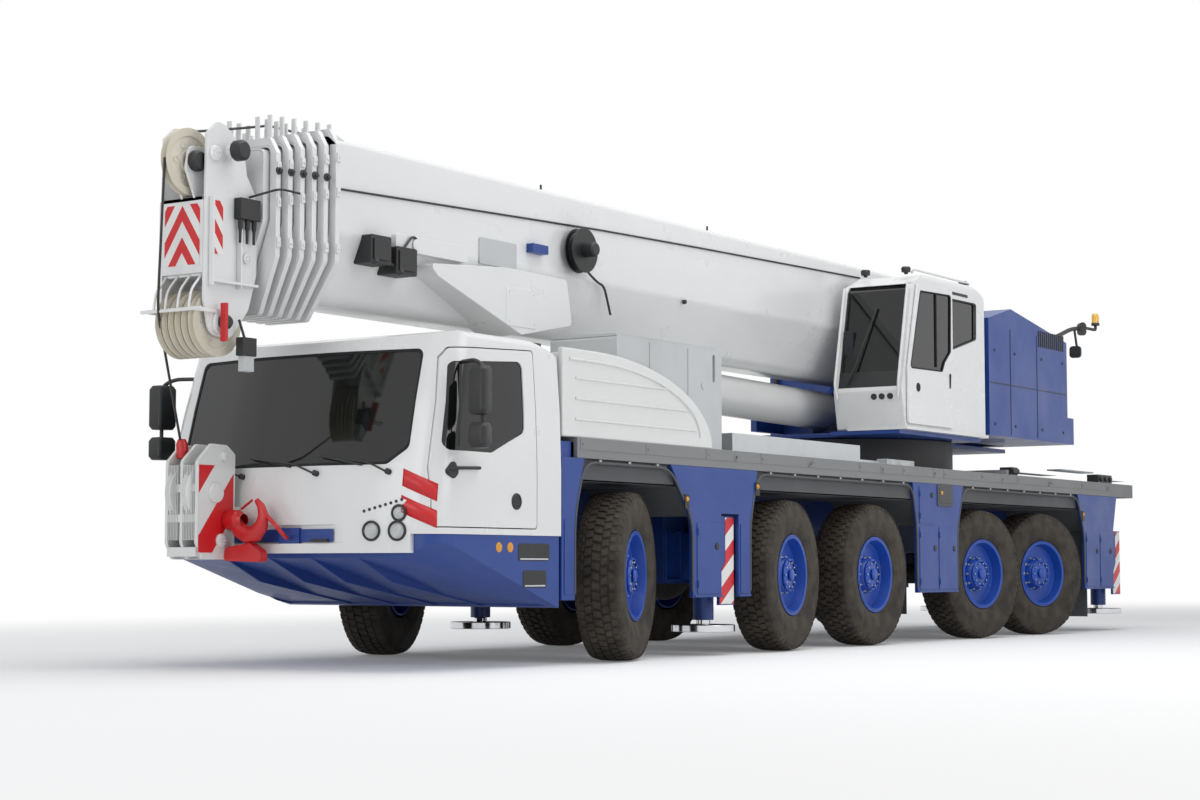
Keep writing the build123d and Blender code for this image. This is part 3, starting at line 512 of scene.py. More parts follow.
for number in range(1, 6):
    for side, word in ((1, "left"), (-1, "right")):
        node = f"wheel_{number}_{word}"
        low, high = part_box(node)
        spin = next(joint for joint in frame["joints"] if joint["child"] == node)
        out = Vector(spin["axis"]) * (side if spin["axis"][1] > 0 else -side)
        turn = Matrix((Vector((0, 0, 1)).cross(out) * -1, out, Vector((0, 0, 1)))).transposed()
        for part, mesh, slot in (("tyre", tyre_mesh, "tyre"), ("rim", rim_mesh, "paint_blue")):
            thing = bpy.data.objects.new(f"{part}_{number}_{word}", mesh)
            thing.matrix_world = Matrix.Translation((low + high) / 2) @ turn.to_4x4()
            scene.collection.objects.link(thing)
            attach(thing, node)
            if part == "tyre":
                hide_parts(node)
            else:
                broken = thing.modifiers.new("broken edges", "BEVEL")
                broken.width = 0.004
                broken.limit_method = "ANGLE"
                broken.angle_limit = math.radians(35)


# The deck: folded aluminium and steel plate. Its turned-down band is grey, the walkways are bare
# chequer plate, and the louvred lockers are mill-finish aluminium.
def chequered(name, code, stud_mm=28):
    """Rolled aluminium tread plate: bright, with raised studs that catch the light."""
    material, tree = blank(name)
    spot = add(tree, "ShaderNodeTexCoord")
    studs = add(tree, "ShaderNodeTexVoronoi", {0: spot.outputs["Object"]}, Scale=1000 / stud_mm)
    rise = add(tree, "ShaderNodeMapRange", {0: studs.outputs[0]}, From_Min=0.2, From_Max=0.45, To_Min=1.0,
               To_Max=0.0)
    scuff = add(tree, "ShaderNodeTexNoise", {0: spot.outputs["Object"]}, Scale=9.0, Detail=8.0)
    gloss = add(tree, "ShaderNodeMapRange", {0: scuff.outputs[0]}, To_Min=0.25, To_Max=0.6)
    tone = two_tone(tree, scuff.outputs[0], code, "#9A9C9E")
    bump = add(tree, "ShaderNodeBump", {"Height": rise.outputs[0]}, Strength=0.5, Distance=0.002)
    surface(tree, {"Base Color": tone, "Roughness": gloss.outputs[0], "Normal": bump.outputs[0]},
            Metallic=0.85)
    return material


# Structured two-pack coating on the band: matt, with a coarse peel that stops it shining.
deck_grey = coated("grey structured deck coating", "#7B7D7E", 0.55, dust="#9A958C", peel_mm=5, clear=0.0)
# Bare tread plate with raised studs; its tone and gloss vary in scuffed patches.
tread_plate = chequered("aluminium chequer plate", "#C9CBCC")
# Mill finish: a soft grey sheen with the rolls' long shallow ripples.
mill_aluminium = coated("mill-finish aluminium", "#C4C7C9", 0.38, dust="#8E8C88", peel_mm=12, clear=0.0,
                        metal=0.7)
# Moulded polyamide: satin black, its fine grain greys the highlights.
black_plastic = coated("moulded black polyamide", "#1D1E20", 0.45, dust="#4A4743", peel_mm=1.6, clear=0.0)
deck_top, deck_front, deck_rear, half_width = 1.76, 0.80, -11.25, 1.375
bm = borrowed("carrier_deck")
for face in bm.faces:
    middle = face.calc_center_median()
    if middle.z > deck_top - 0.005:
        locker = axle_x - 4.21 < middle.x < axle_x - 1.80
        face.material_index = 2 if locker else 1
piece("deck_plates", bm, "carrier", [deck_grey, tread_plate, mill_aluminium], 0.005,
      ["carrier_deck"])
bm = bmesh.new()
# a folded edge strip in short lengths, with a cross bolt at each joint
strip = 0.94
count = int((deck_front - deck_rear) / strip)
for index in range(count):
    front = deck_front - 0.04 - index * strip
    brick(bm, front, front - strip + 0.012, half_width - 0.001, half_width + 0.004, 1.665, 1.752)
    bolt(bm, at(front - 0.03, half_width + 0.003, 1.71), (0, 1, 0), 0.011, 0.008)
# lashing eyes and the rail posts' sockets along the edge
for x in (-1.62, -2.95, -4.42, -5.6, -7.3, -8.6, -10.4):
    lathe(bm, [(0.034, 0), (0.034, 0.012), (0.020, 0.016), (0.016, 0.006), (0, 0.006)],
          at(x, half_width - 0.002, 1.70), (0, 1, 0), 20)
mirrored(bm)
piece("deck_edge_strips", bm, "carrier", [deck_grey], 0.0015)
bm = bmesh.new()
# grating bars over the rear walkway, and the raised tread plates on both sides of the turntable
for index in range(34):
    x = -9.14 - index * 0.030
    brick(bm, x, x - 0.006, 1.13, 1.31, 1.868, 1.884)
for front, rear in ((-4.78, -5.22), (-7.93, -9.04), (-10.73, -11.2)):
    brick(bm, front, rear, 1.10, 1.29, 1.802, 1.806)
brick(bm, -4.30, -4.72, 0.62, 1.20, 1.758, 1.80)
brick(bm, -7.60, -7.86, 0.75, 1.30, 1.758, 1.82)
for front, rear in ((-1.86, -2.98), (-3.02, -4.14)):
    rounded_plate(bm, front, rear, 1.758, 1.925, 0.78, 1.205, 0.01)
    for index in range(int((front - rear) / 0.045)):
        x = front - 0.03 - index * 0.045
        slab(bm, [(x, 1.785), (x - 0.012, 1.785), (x - 0.030, 1.905), (x - 0.018, 1.905)], 1, 1.203, 1.214)
mirrored(bm)
piece("deck_gratings", bm, "carrier", [mill_aluminium], 0.001)
bm = bmesh.new()
for x0, x1, z in ((-10.22, -10.66, 1.86), (-7.66, -7.82, 1.85)):
    brick(bm, x0, x1, 1.19, 1.335, deck_top, z)
    for step in range(3):
        x = x0 + (x1 - x0) * (step + 0.5) / 3
        lathe(bm, [(0.030, 0), (0.030, 0.018), (0.022, 0.026), (0, 0.026)], at(x, 1.335, (deck_top + z) / 2),
              (0, 1, 0), 16)
mirrored(bm)
piece("deck_sockets", bm, "carrier", [black_plastic], 0.004)

# The side panels: blue sheet-steel lockers between the wheel arches. Each is a folded skin on a
# frame, with flush doors, slam latches, round sockets and marker lamps.
def shaped(bm, tool, how="DIFFERENCE"):
    """A closed form with another cut from it, joined to it, or kept only where both are."""
    shapes = []
    for form in (bm, tool):
        bmesh.ops.recalc_face_normals(form, faces=form.faces)
        mesh = bpy.data.meshes.new("form")
        form.to_mesh(mesh)
        form.free()
        shapes.append(bpy.data.objects.new("form", mesh))
        scene.collection.objects.link(shapes[-1])
    cut = shapes[0].modifiers.new("cut", "BOOLEAN")
    cut.object, cut.operation, cut.solver = shapes[1], how, "EXACT"
    made = bpy.data.meshes.new_from_object(shapes[0].evaluated_get(bpy.context.evaluated_depsgraph_get()))
    result = bmesh.new()
    result.from_mesh(made)
    for shape in shapes:
        mesh = shape.data
        bpy.data.objects.remove(shape)
        bpy.data.meshes.remove(mesh)
    bpy.data.meshes.remove(made)
    return result


# Panel enamel: satin blue under a thin clear film, greyer where road dust settles.
panel_blue = coated("blue panel enamel", "#123A86", 0.42, dust="#39507F", dust_share=0.3, clear=0.12)
# Structured plastic of arches and hatches: matt dark grey that stays quiet beside the blue.
trim_grey = coated("dark grey structured plastic", "#4A4C4F", 0.6, dust="#7A766E", peel_mm=3, clear=0.0)
lamp_amber, tree = blank("amber polycarbonate lens")
# Clear moulded lens over a reflector: saturated and glossy.
grid = add(tree, "ShaderNodeTexVoronoi", Scale=160.0)
bump = add(tree, "ShaderNodeBump", {"Height": grid.outputs[0]}, Strength=0.3, Distance=0.001)
surface(tree, {"Normal": bump.outputs[0]}, Base_Color=linear("#E8A020"), Roughness=0.15,
        Transmission_Weight=0.2)
panel_low, knee, band_low, sweep, skin = 0.50, 1.15, 1.60, 0.35, 0.04
# front and rear edges of each panel at the bottom, then at the deck's band
panels = [
    (1.01, 1.01, 0.83, 0.70), (-0.91, -0.56, -1.87, -2.00), (-5.20, -5.10, -6.15, -6.30),
    (-9.65, -9.45, -10.56, -10.70),
]
bm = bmesh.new()
for front_foot, front_top, rear_foot, rear_top in panels:
    outline = [(front_foot, panel_low), (front_foot, knee), (front_top, band_low), (rear_top, band_low),
               (rear_foot, knee), (rear_foot, panel_low)]
    radii = [0, sweep, 0, 0, sweep, 0]
    if front_foot == front_top:
        outline.pop(1)
        radii.pop(1)
    slab(bm, rounded(outline, radii, 8), 1, half_width - skin, half_width)
mirrored(bm)
tool = bmesh.new()
for left_x, right_x in ((-1.52, -1.24), (-10.75, -11.03)):
    brick(tool, left_x - 0.145, left_x + 0.145, 0, 1.5, 0, 1.21)
    brick(tool, right_x - 0.145, right_x + 0.145, -1.5, 0, 0, 1.21)
bm = shaped(bm, tool)
piece("side_skins", bm, "carrier", [panel_blue], 0.006, ["side_panels"])
bm = bmesh.new()
# flush locker doors: front, rear, bottom and top of each, and the sides it is on, as the right front
# outrigger slides out 0.28 m ahead of the left one
both_sides, left_side, right_side = (1, -1), (1,), (-1,)
locker_list = [
    (-0.97, -1.36, 0.53, 1.13, left_side), (-1.69, -1.84, 0.53, 1.13, left_side),
    (-1.42, -1.84, 0.53, 1.13, right_side), (-5.24, -5.66, 0.53, 1.16, both_sides),
    (-5.69, -6.12, 0.53, 1.16, both_sides), (-5.24, -5.60, 1.19, 1.57, both_sides),
    (-9.69, -10.10, 0.53, 1.16, both_sides), (-10.13, -10.53, 0.53, 1.16, both_sides),
    (0.98, 0.86, 0.54, 1.12, both_sides),
]
latch_from = 0.3
for front, rear, low, high, sides in locker_list:
    for side in sides:
        rounded_plate(bm, front, rear, low, high, side * (half_width - 0.002), side * (half_width + 0.006),
                      0.02)
        if front - rear > latch_from:
            lathe(bm, [(0.030, 0), (0.030, 0.008), (0.012, 0.010), (0, 0.010)],
                  at(rear + 0.07, side * (half_width + 0.005), (low + high) / 2 + 0.1), (0, side, 0), 20, 1)
            for z in (low + 0.08, high - 0.08):
                brick(bm, front - 0.045, front - 0.005, side * (half_width + 0.004),
                      side * (half_width + 0.014), z - 0.03, z + 0.03)
# the lip along the foot of the lockers, left open where an outrigger slides out
for front, rear, sides in (
        (-0.93, -1.38, left_side), (-1.67, -1.86, left_side), (-0.93, -1.08, right_side),
        (-1.40, -1.86, right_side), (-5.21, -6.14, both_sides), (-9.66, -10.55, both_sides)):
    for side in sides:
        brick(bm, rear, front, side * (half_width - 0.03), side * (half_width + 0.010), 0.502, 0.520)
piece("locker_doors", bm, "carrier", [panel_blue, black_plastic], 0.002)
bm = bmesh.new()
for x, z in ((-0.80, 1.30), (-5.75, 1.49), (-9.60, 1.35), (-1.98, 1.44)):
    rounded_plate(bm, x + 0.035, x - 0.035, z - 0.06, z + 0.06, half_width - 0.002, half_width + 0.012,
                  0.012)
    lathe(bm, [(0.022, 0), (0.020, 0.006), (0.012, 0.010), (0, 0.011)], at(x, half_width + 0.012, z + 0.02),
          (0, 1, 0), 16, 1)
mirrored(bm)
piece("side_marker_lamps", bm, "carrier", [black_plastic, lamp_amber], 0.002)
bm = bmesh.new()
rounded_plate(bm, -5.66, -6.02, 1.375, 1.60, half_width, half_width + 0.010, 0.03)
rounded_plate(bm, -5.70, -5.98, 1.41, 1.565, half_width + 0.008, half_width + 0.014, 0.02)
mirrored(bm)
piece("battery_hatch", bm, "carrier", [trim_grey], 0.003)

# The mudguards: dark moulded plastic arches on the frame, with a rolled lip along each arch, a row of
# clips on it and rubber flaps.
arch, drop, plate = 1.42, 0.24, 0.02


def edge_at(foot, top, z):
    """x of a panel's swept edge at a height above its knee."""
    return foot + (top - foot) * (z - knee) / (band_low - knee)


bm = bmesh.new()
for ahead, behind in zip(panels, panels[1:]):
    front, rear = edge_at(ahead[2], ahead[3], arch), edge_at(behind[0], behind[1], arch)
    slab(bm, [(front, arch), (rear, arch), (rear - drop, arch - drop), (rear - drop - plate, arch - drop),
              (rear - plate, arch + plate), (front, arch + plate)], 1, 0.43, half_width - skin)
    slab(bm, [(front, arch), (ahead[3], band_low), (behind[1], band_low), (rear, arch)], 1,
         half_width - 0.08, half_width - skin)
brick(bm, -9.79, -9.81, 1.0, half_width - skin, 0.18, 1.19)
mirrored(bm)
piece("wheel_housings", bm, "carrier", [trim_grey], 0.004, ["mudguards"])
bm = bmesh.new()
for ahead, behind in zip(panels, panels[1:]):
    front_knee, front_band, rear_knee, rear_band = ahead[2], ahead[3], behind[0], behind[1]
    lip = [(front_knee, 0.55), (front_knee, knee), (front_band, band_low - 0.03),
           (rear_band, band_low - 0.03), (rear_knee, knee), (rear_knee, 0.55)]
    path = [at(x, half_width - 0.004, z) for x, z in lip]
    pipe(bm, path, 0.011, 0.16, 8)
    clips = int((front_band - rear_band) / 0.42)
    for index in range(clips):
        x = front_band - (index + 0.5) * (front_band - rear_band) / clips
        brick(bm, x + 0.018, x - 0.018, half_width - 0.01, half_width + 0.008, 1.578, 1.596, 1)
mirrored(bm)
piece("arch_lips", bm, "carrier", [trim_grey, zinc], 0.0)

# The outriggers: two-stage welded beams in blue, with a jack, a striped sheet-metal end plate and a
# pressed float with a steel rim. The jack rods are chromed.
chrome, tree = blank("hard chrome")
# Hard-chromed steel: a mirror with faint grinding marks round it.
spot = add(tree, "ShaderNodeTexCoord")
marks = add(tree, "ShaderNodeTexNoise", {0: spot.outputs["Object"]}, Scale=140.0, Detail=4.0)
gloss = add(tree, "ShaderNodeMapRange", {0: marks.outputs[0]}, To_Min=0.06, To_Max=0.22)
surface(tree, {"Roughness": gloss.outputs[0]}, Base_Color=linear("#D5D7DA"), Metallic=1.0)
# Reflective sheeting, red and white: smooth film, even in colour and barely dusty.
sheet_red = coated("red reflective sheeting", "#C8121A", 0.42, dust="#8A2020", peel_mm=1.4, clear=0.15)
sheet_white = coated("white reflective sheeting", "#E2E2E0", 0.4, dust="#A8A49C", peel_mm=1.4, clear=0.15)


def banded(outline, axis, place, slope, pitch, phase, thick=0.003):
    """A thin plate with slanted bands: its face is cut along parallel lines, finished in turn."""
    bm = bmesh.new()
    slab(bm, outline, axis, place, place + thick)
    normal = Vector(slope).normalized()
    reach = [normal.dot(vert.co) for vert in bm.verts]
    first = math.ceil((min(reach) - phase) / pitch)
    for index in range(first, int((max(reach) - phase) / pitch) + 1):
        cut_by(bm, normal * (index * pitch + phase), normal)
    for face in bm.faces:
        face.material_index = math.floor((normal.dot(face.calc_center_median()) - phase) / pitch) % 2
    return bm


for place, left_x, right_x in (("front", -1.52, -1.24), ("rear", -10.75, -11.03)):
    for side, word, x in ((1, "left", left_x), (-1, "right", right_x)):
        stem = f"outrigger_{place}_{word}"
        bodies = frame["record"]["behaviour"]["bodies"]
        rides = {part: next(body for body, nodes in bodies.items() if f"{stem}_{part}" in nodes)
                 for part in ("beam", "extension", "foot")}
        piece(stem + "_outer", borrowed(stem + "_beam"), rides["beam"], [panel_blue], 0.004,
              [stem + "_beam"])
        piece(stem + "_inner", borrowed(stem + "_extension"), rides["extension"], [panel_blue],
              0.004, [stem + "_extension"])
        bm = borrowed(stem + "_foot")
        for face in bm.faces:
            middle = face.calc_center_median()
            round_mid = math.hypot(middle.x - axle_x - x, middle.y - side * 1.10)
            if round_mid > 0.265 or 0.05 < round_mid < 0.07:
                face.material_index = 1
        piece(stem + "_float", bm, rides["foot"], [cast_black, chrome], 0.005, [stem + "_foot"])
        plate = frame["nodes"][stem + "_extension"].data
        far = max(abs(vert.co.y) for vert in plate.vertices)
        rear_low = [vert.co for vert in plate.vertices if abs(vert.co.y) > far - 0.001]
        top, bottom = max(v.z for v in rear_low), min(v.z for v in rear_low)
        knee_z = (bottom + top) / 2
        edge = side * far
        outline = [(x - 0.118, bottom + 0.01), (x - 0.118, top - 0.01), (x + 0.022, top - 0.01),
                   (x + 0.022, knee_z - 0.005), (x + 0.118, knee_z - 0.135), (x + 0.118, bottom + 0.01)]
        bm = banded(outline, 1, edge, (0.75, 0, 1 if side > 0 else -1), 0.105, 0.02, 0.003 * side)
        piece(stem + "_stripes", bm, rides["extension"], [sheet_white, sheet_red], 0.0)
        bm = bmesh.new()
        # bolted cap of the jack and the hoses that feed it
        lathe(bm, [(0.082, 0), (0.082, 0.018), (0.060, 0.024), (0, 0.024)], at(x, side * 1.10, 1.19),
              (0, 0, 1), 28)
        bolt_ring(bm, at(x, side * 1.10, 1.208), (0, 0, 1), 0.068, 8, 0.009, 0.010, start=0.5)
        for shift in (-0.03, 0.03):
            pipe(bm, [at(x + shift, side * 1.02, 1.16), at(x + shift, side * 0.99, 1.16),
                      at(x + shift, side * 0.985, 1.0)], 0.012, 0.02, 8)
        piece(stem + "_jack_cap", bm, rides["extension"], [cast_black], 0.002)


# The nose under the cab: folded blue sheet wrapped round the corners, with a ribbed belly ramp that
# rises to the bumper, two steps cut into each flank and round marker lamps.
cab_rear, cab_front, cab_sweep, cab_flat, cab_corner = 1.02, 2.72, 0.168, 0.42, 0.26
cab_floor, cab_roof, bumper_low = 0.99, 2.48, 0.855
# height, how far the front has leaned back there, and how far each side has leaned in
cab_levels = [(0.40, 0, 0), (1.23, 0, 0), (1.49, 0.030, 0), (1.95, 0.142, 0.016), (2.52, 0.300, 0.058)]


def cab_prism(inset, top=5):
    """The cab's plan, swept back and rounded at the corners, drawn up through its levels."""
    bm = bmesh.new()
    rings = []
    for z, lean, tumble in cab_levels[:top]:
        half = [(cab_rear + inset, half_width - inset - tumble),
                (cab_front - cab_sweep - inset - lean, half_width - inset - tumble),
                (cab_front - inset - lean, cab_flat)]
        outline = rounded(half + [(x, -y) for x, y in reversed(half)],
                          [0, cab_corner - inset, 2.5, 2.5, cab_corner - inset, 0], 12)
        rings.append([bm.verts.new(at(x, y, z)) for x, y in outline])
    bm.faces.new(rings[0])
    bm.faces.new(rings[-1])
    walled(bm, rings)
    return bm


bm = bmesh.new()
slab(bm, [(1.01, 0.44), (1.01, cab_floor), (2.552, cab_floor), (2.552, 0.815), (2.17, 0.64)], 1, -half_width,
     half_width)
bm = shaped(bm, cab_prism(0.012, 3), "INTERSECT")
belly_edge = half_width - 0.075
tool = bmesh.new()
for y0, y1 in ((-belly_edge, -0.665), (-0.645, -0.215), (-0.195, 0.195), (0.215, 0.645),
               (0.665, belly_edge)):
    slab(tool, [(2.64, 0.843), (1.55, 0.545), (1.10, 0.47), (1.10, 0.1), (2.64, 0.1)], 1, y0, y1)
bm = shaped(bm, tool)
for side in (1, -1):
    corner = at(2.552, side * half_width, cab_floor - 0.005)
    back = at(1.01, side * half_width, 0.44) - corner
    out = back.cross(Vector((0, -side * 0.21, bumper_low - cab_floor))) * side
    cut_by(bm, corner, out if out.z < 0 else -out, clear_outer=True)
    bmesh.ops.holes_fill(bm, edges=[edge for edge in bm.edges if edge.is_boundary])
brick(bm, 0.83, 1.01, -half_width + 0.04, half_width - 0.04, 0.50, 1.725)
piece("nose_shell", bm, "carrier", [panel_blue], 0.006, ["front_nose"])
bm = bmesh.new()
for x, z in ((1.66, 0.90), (1.80, 0.90)):
    lathe(bm, [(0.038, 0), (0.038, 0.010), (0.030, 0.012), (0, 0.013)], at(x, half_width - 0.02, z),
          (0, 1, 0), 24, 1)
for x0, x1, z0, z1 in ((1.16, 1.56, 0.80, 0.93), (1.20, 1.50, 0.60, 0.73)):
    rounded_plate(bm, x0, x1, z0, z1, half_width - 0.05, half_width - 0.008, 0.02)
    brick(bm, x0 + 0.02, x1 - 0.02, half_width - 0.02, half_width - 0.004, z0 + 0.008, z0 + 0.02, 2)
mirrored(bm)
piece("nose_steps", bm, "carrier", [black_plastic, lamp_amber, mill_aluminium], 0.003)

# The carrier cab: a glued sheet-steel shell in white enamel. It is pressed in courses that lean back
# to the roof; the doors wrap round its corners and the bumper carries round lamps in bezels.
# Cab enamel: the glossiest paint here, white and almost free of dust.
cab_white = coated("white cab enamel", "#DCDDDD", 0.28, dust="#B4B0A8", dust_share=0.10)
screen_edge = [(0.95, 1.49), (1.11, 1.61), (1.09, 2.34)]
door_front, door_rear, door_low = 2.515, 1.34, 1.043
door_edge = [(door_front, door_low), (door_front, 1.48), (2.325, 2.265), (2.27, 2.34), (door_rear, 2.385),
             (door_rear, door_low)]
window_edge = [(2.295, 2.24), (1.48, 2.295), (1.49, 1.76), (1.90, 1.59), (2.44, 1.59)]


def cab_form(inset):
    """The cab's outside, or the same form drawn in by a wall."""
    roof, floor, rear = cab_roof - inset, cab_floor + inset, cab_rear + inset
    profile = [(rear, floor), (rear, roof - 0.11), (rear + 0.32, roof + 0.002), (2.14, roof + 0.002),
               (2.49, roof - 0.065), (cab_front + 0.02, 1.5),
               (cab_front + 0.02, floor if inset else bumper_low)]
    radii = [0, 0.06, 0.4, 0.3, 0.07, 0, 0]
    if not inset:
        profile += [(2.325, bumper_low), (2.325, floor)]
        radii += [0, 0]
    bm = bmesh.new()
    slab(bm, rounded(profile, radii, 8), 1, -half_width - 0.1, half_width + 0.1)
    bm = shaped(cab_prism(inset), bm, "INTERSECT")
    across = bmesh.new()
    side = half_width - inset + 0.01
    half = [(side, 0.2), (side, 1.5), (side - 0.058, roof)]
    slab(across, rounded(half + [(-y, z) for y, z in reversed(half)], [0, 0.9, 0.11, 0.11, 0.9, 0], 8), 0,
         0.9, 2.9)
    return shaped(bm, across, "INTERSECT")


def both_doors(margin, window=False):
    """Cutters of the doors' outline, let out by a margin, or of the window in them."""
    bm = bmesh.new()
    outline = window_edge if window else door_edge
    mid_x, mid_z = (door_front + door_rear) / 2, 1.7
    grown = [(x + math.copysign(margin, x - mid_x), z + math.copysign(margin, z - mid_z))
             for x, z in outline]
    slab(bm, rounded(grown, 0.06 if window else 0.03), 1, 1.13, 1.5)
    mirrored(bm)
    return bm


def screen_hole(margin):
    """Cutter of the windscreen, drawn in by a margin."""
    bm = bmesh.new()
    half = [(y - margin, z + (margin if z < 1.7 else -margin)) for y, z in screen_edge]
    slab(bm, rounded(half + [(-y, z) for y, z in reversed(half)], 0.06), 0, 2.25, 2.85)
    return bm


bm = shaped(cab_form(0), cab_form(0.045))
bm = shaped(bm, screen_hole(0))
bm = shaped(bm, both_doors(0.008))
tool = bmesh.new()
slab(tool, rounded([(-0.65, 0.925), (-0.56, 1.062), (0.56, 1.062), (0.65, 0.925)], 0.03), 0, 2.685, 2.8)
bm = shaped(bm, tool)
end = bmesh.new()
brick(end, 2.32, 2.73, 1.165, 1.5, 0.8, cab_floor)
mirrored(end)
bm = shaped(bm, end)
piece("cab_shell", bm, "carrier", [cab_white], 0.005, ["carrier_cab"], 25)
# Extruded seal: dull black, it draws the line round each pane.
seal_rubber = rubber("extruded seal rubber", "#17181A", "#232426")
# Toughened glass with a green-black tint: a hard, sharp reflection and little to see behind it.
tinted, tree = blank("tinted safety glass")
spot = add(tree, "ShaderNodeTexCoord")
film = add(tree, "ShaderNodeTexNoise", {0: spot.outputs["Object"]}, Scale=3.0, Detail=6.0)
gloss = add(tree, "ShaderNodeMapRange", {0: film.outputs[0]}, To_Min=0.02, To_Max=0.07)
surface(tree, {"Roughness": gloss.outputs[0]}, Base_Color=linear("#161817"), IOR=1.52,
        Transmission_Weight=0.25)
glass = shaped(cab_form(0.010), cab_form(0.018))
panes = glass.copy()
piece("windscreen", shaped(glass, screen_hole(0.002), "INTERSECT"), "carrier", [tinted], 0.0,
      ["cab_glass"])
lining = shaped(cab_form(0.006), cab_form(0.030))
trim = lining.copy()
bm = shaped(lining, screen_hole(0.001), "INTERSECT")
piece("windscreen_seal", shaped(bm, screen_hole(0.020)), "carrier", [seal_rubber], 0.0)
shell = shaped(cab_form(0), cab_form(0.045))
shell = shaped(shell, both_doors(0), "INTERSECT")
shell = shaped(shell, both_doors(0, True))
panes = shaped(panes, both_doors(-0.001, True), "INTERSECT")
trim = shaped(trim, both_doors(-0.001, True), "INTERSECT")
trim = shaped(trim, both_doors(-0.018, True))
mirror_x, mirror_y, arm_z = 2.31, 1.58, 2.24


def beside(side, x, y, z):
    """A place on the left door, or the same on the right one."""
    return at(x, side * y, z)


for side, word in ((1, "left"), (-1, "right")):
    for kind, form, finish, slot, edge, stands in (
            ("skin", shell, cab_white, "paint_white", 0.004, [f"carrier_door_{word}"]),
            ("pane", panes, tinted, "glass_dark", 0, []), ("seal", trim, seal_rubber, "paint_dark", 0, [])):
        bm = form.copy()
        gone = [face for face in bm.faces if face.calc_center_median().y * side < 0]
        bmesh.ops.delete(bm, geom=gone, context="FACES")
        piece(f"door_{kind}_{word}", bm, f"door_{word}", [finish], edge, stands, 25)
    bm = bmesh.new()
    # pull handle in its dished plate, the round vent and the bar behind the window
    slab(bm, rounded([(2.44, 1.43), (2.36, 1.53), (2.30, 1.43), (2.36, 1.38)], 0.03), 1,
         side * (half_width - 0.04), side * (half_width + 0.006))
    pipe(bm, [beside(side, 2.40, half_width - 0.01, 1.45), beside(side, 2.38, half_width + 0.045, 1.46),
              beside(side, 2.10, half_width + 0.045, 1.47), beside(side, 2.08, half_width - 0.01, 1.47)],
         0.013, 0.03)
    lathe(bm, [(0.062, 0), (0.062, 0.010), (0.050, 0.016), (0.047, 0.008), (0, 0.008)],
          beside(side, 1.60, half_width - 0.004, 1.24), (0, side, 0), 36)
    for shift in (-0.024, 0, 0.024):
        brick(bm, 1.56, 1.64, side * half_width, side * (half_width + 0.009), 1.24 + shift - 0.005,
              1.245 + shift)
    pipe(bm, [beside(side, 2.28, half_width - 0.022, 1.62), beside(side, 2.22, half_width - 0.05, 2.22)],
         0.013)
    # mirror arms and the two housings with their shaped backs
    pipe(bm, [beside(side, 2.19, half_width - 0.06, arm_z), beside(side, 2.27, half_width + 0.12, arm_z),
              beside(side, mirror_x, half_width + 0.22, arm_z - 0.05),
              beside(side, mirror_x, half_width + 0.22, 1.70)], 0.016, 0.08)
    for low, high in ((1.60, 1.78), (1.84, 2.19)):
        grown = rounded([(2.21, half_width + 0.13), (2.25, half_width + 0.26), (2.37, half_width + 0.30),
                         (2.40, half_width + 0.27), (2.40, half_width + 0.15)], 0.03)
        rings = []
        for z, scale in ((low, 0.78), (low + 0.03, 1.0), (high - 0.03, 1.0), (high, 0.78)):
            rings.append([bm.verts.new(beside(side, mirror_x + (x - mirror_x) * scale,
                                              mirror_y + (y - mirror_y) * scale, z)) for x, y in grown])
        bm.faces.new(rings[0])
        bm.faces.new(rings[-1])
        walled(bm, rings)
        for face in [face for face in bm.faces if abs(face.calc_center_median().x - axle_x - 2.21) < 0.012
                     and low < face.calc_center_median().z < high]:
            face.material_index = 1
    piece(f"door_fittings_{word}", bm, f"door_{word}", [black_plastic, chrome], 0.003)
for form in (shell, panes, trim):
    form.free()

# Fittings on the cab: lamps with chromed bowls and clear lenses, wipers, reflective corner bands, the
# tow plate, a roll of cloth and a camera on the roof.
lens, tree = blank("clear polycarbonate lens")
# Clear lens over a reflector, with moulded prisms that break the light up.
prisms = add(tree, "ShaderNodeTexVoronoi", Scale=120.0)
bump = add(tree, "ShaderNodeBump", {"Height": prisms.outputs[0]}, Strength=0.4, Distance=0.001)
surface(tree, {"Normal": bump.outputs[0]}, Base_Color=linear("#E8ECEC"), Roughness=0.05, IOR=1.49,
        Transmission_Weight=0.85)


def front_at(y, z):
    """x of the cab's front at a distance y from the middle and a height z."""
    lean = next(l0 + (l1 - l0) * (z - z0) / (z1 - z0)
                for (z0, l0, _), (z1, l1, _) in zip(cab_levels, cab_levels[1:]) if z0 <= z <= z1)
    return cab_front - lean - cab_sweep * max(0, abs(y) - cab_flat) / (half_width - cab_flat)


bm = bmesh.new()
ahead = Vector((1, 0.17, 0)).normalized()
for y, z, radius in ((0.85, 1.013, 0.062), (1.058, 1.013, 0.062), (1.072, 1.14, 0.05)):
    spot = at(front_at(y, z) - 0.012, y, z)
    lathe(bm, [(radius + 0.012, -0.02), (radius + 0.012, 0.022), (radius, 0.028), (radius - 0.004, 0.020)],
          spot, ahead, 40)
    lathe(bm, [(radius - 0.004, 0.016), (radius * 0.7, 0.0), (radius * 0.3, -0.012), (0, -0.014)], spot,
          ahead, 40, 1)
    lathe(bm, [(0.016, -0.012), (0.016, 0.008), (0, 0.012)], spot, ahead, 16, 1)
    lathe(bm, [(radius - 0.005, 0.018), (radius * 0.8, 0.0235), (radius * 0.4, 0.026), (0, 0.027)], spot,
          ahead, 40, 2)
mirrored(bm)
piece("head_lamps", bm, "carrier", [black_plastic, chrome, lens], 0.001)
bm = bmesh.new()
for index in range(8):
    y, z = 0.792 + 0.302 * index / 7, 1.155 + 0.079 * index / 7
    lathe(bm, [(0.012, -0.004), (0.012, 0.004), (0, 0.005)], at(front_at(y, z), y, z), ahead, 16)
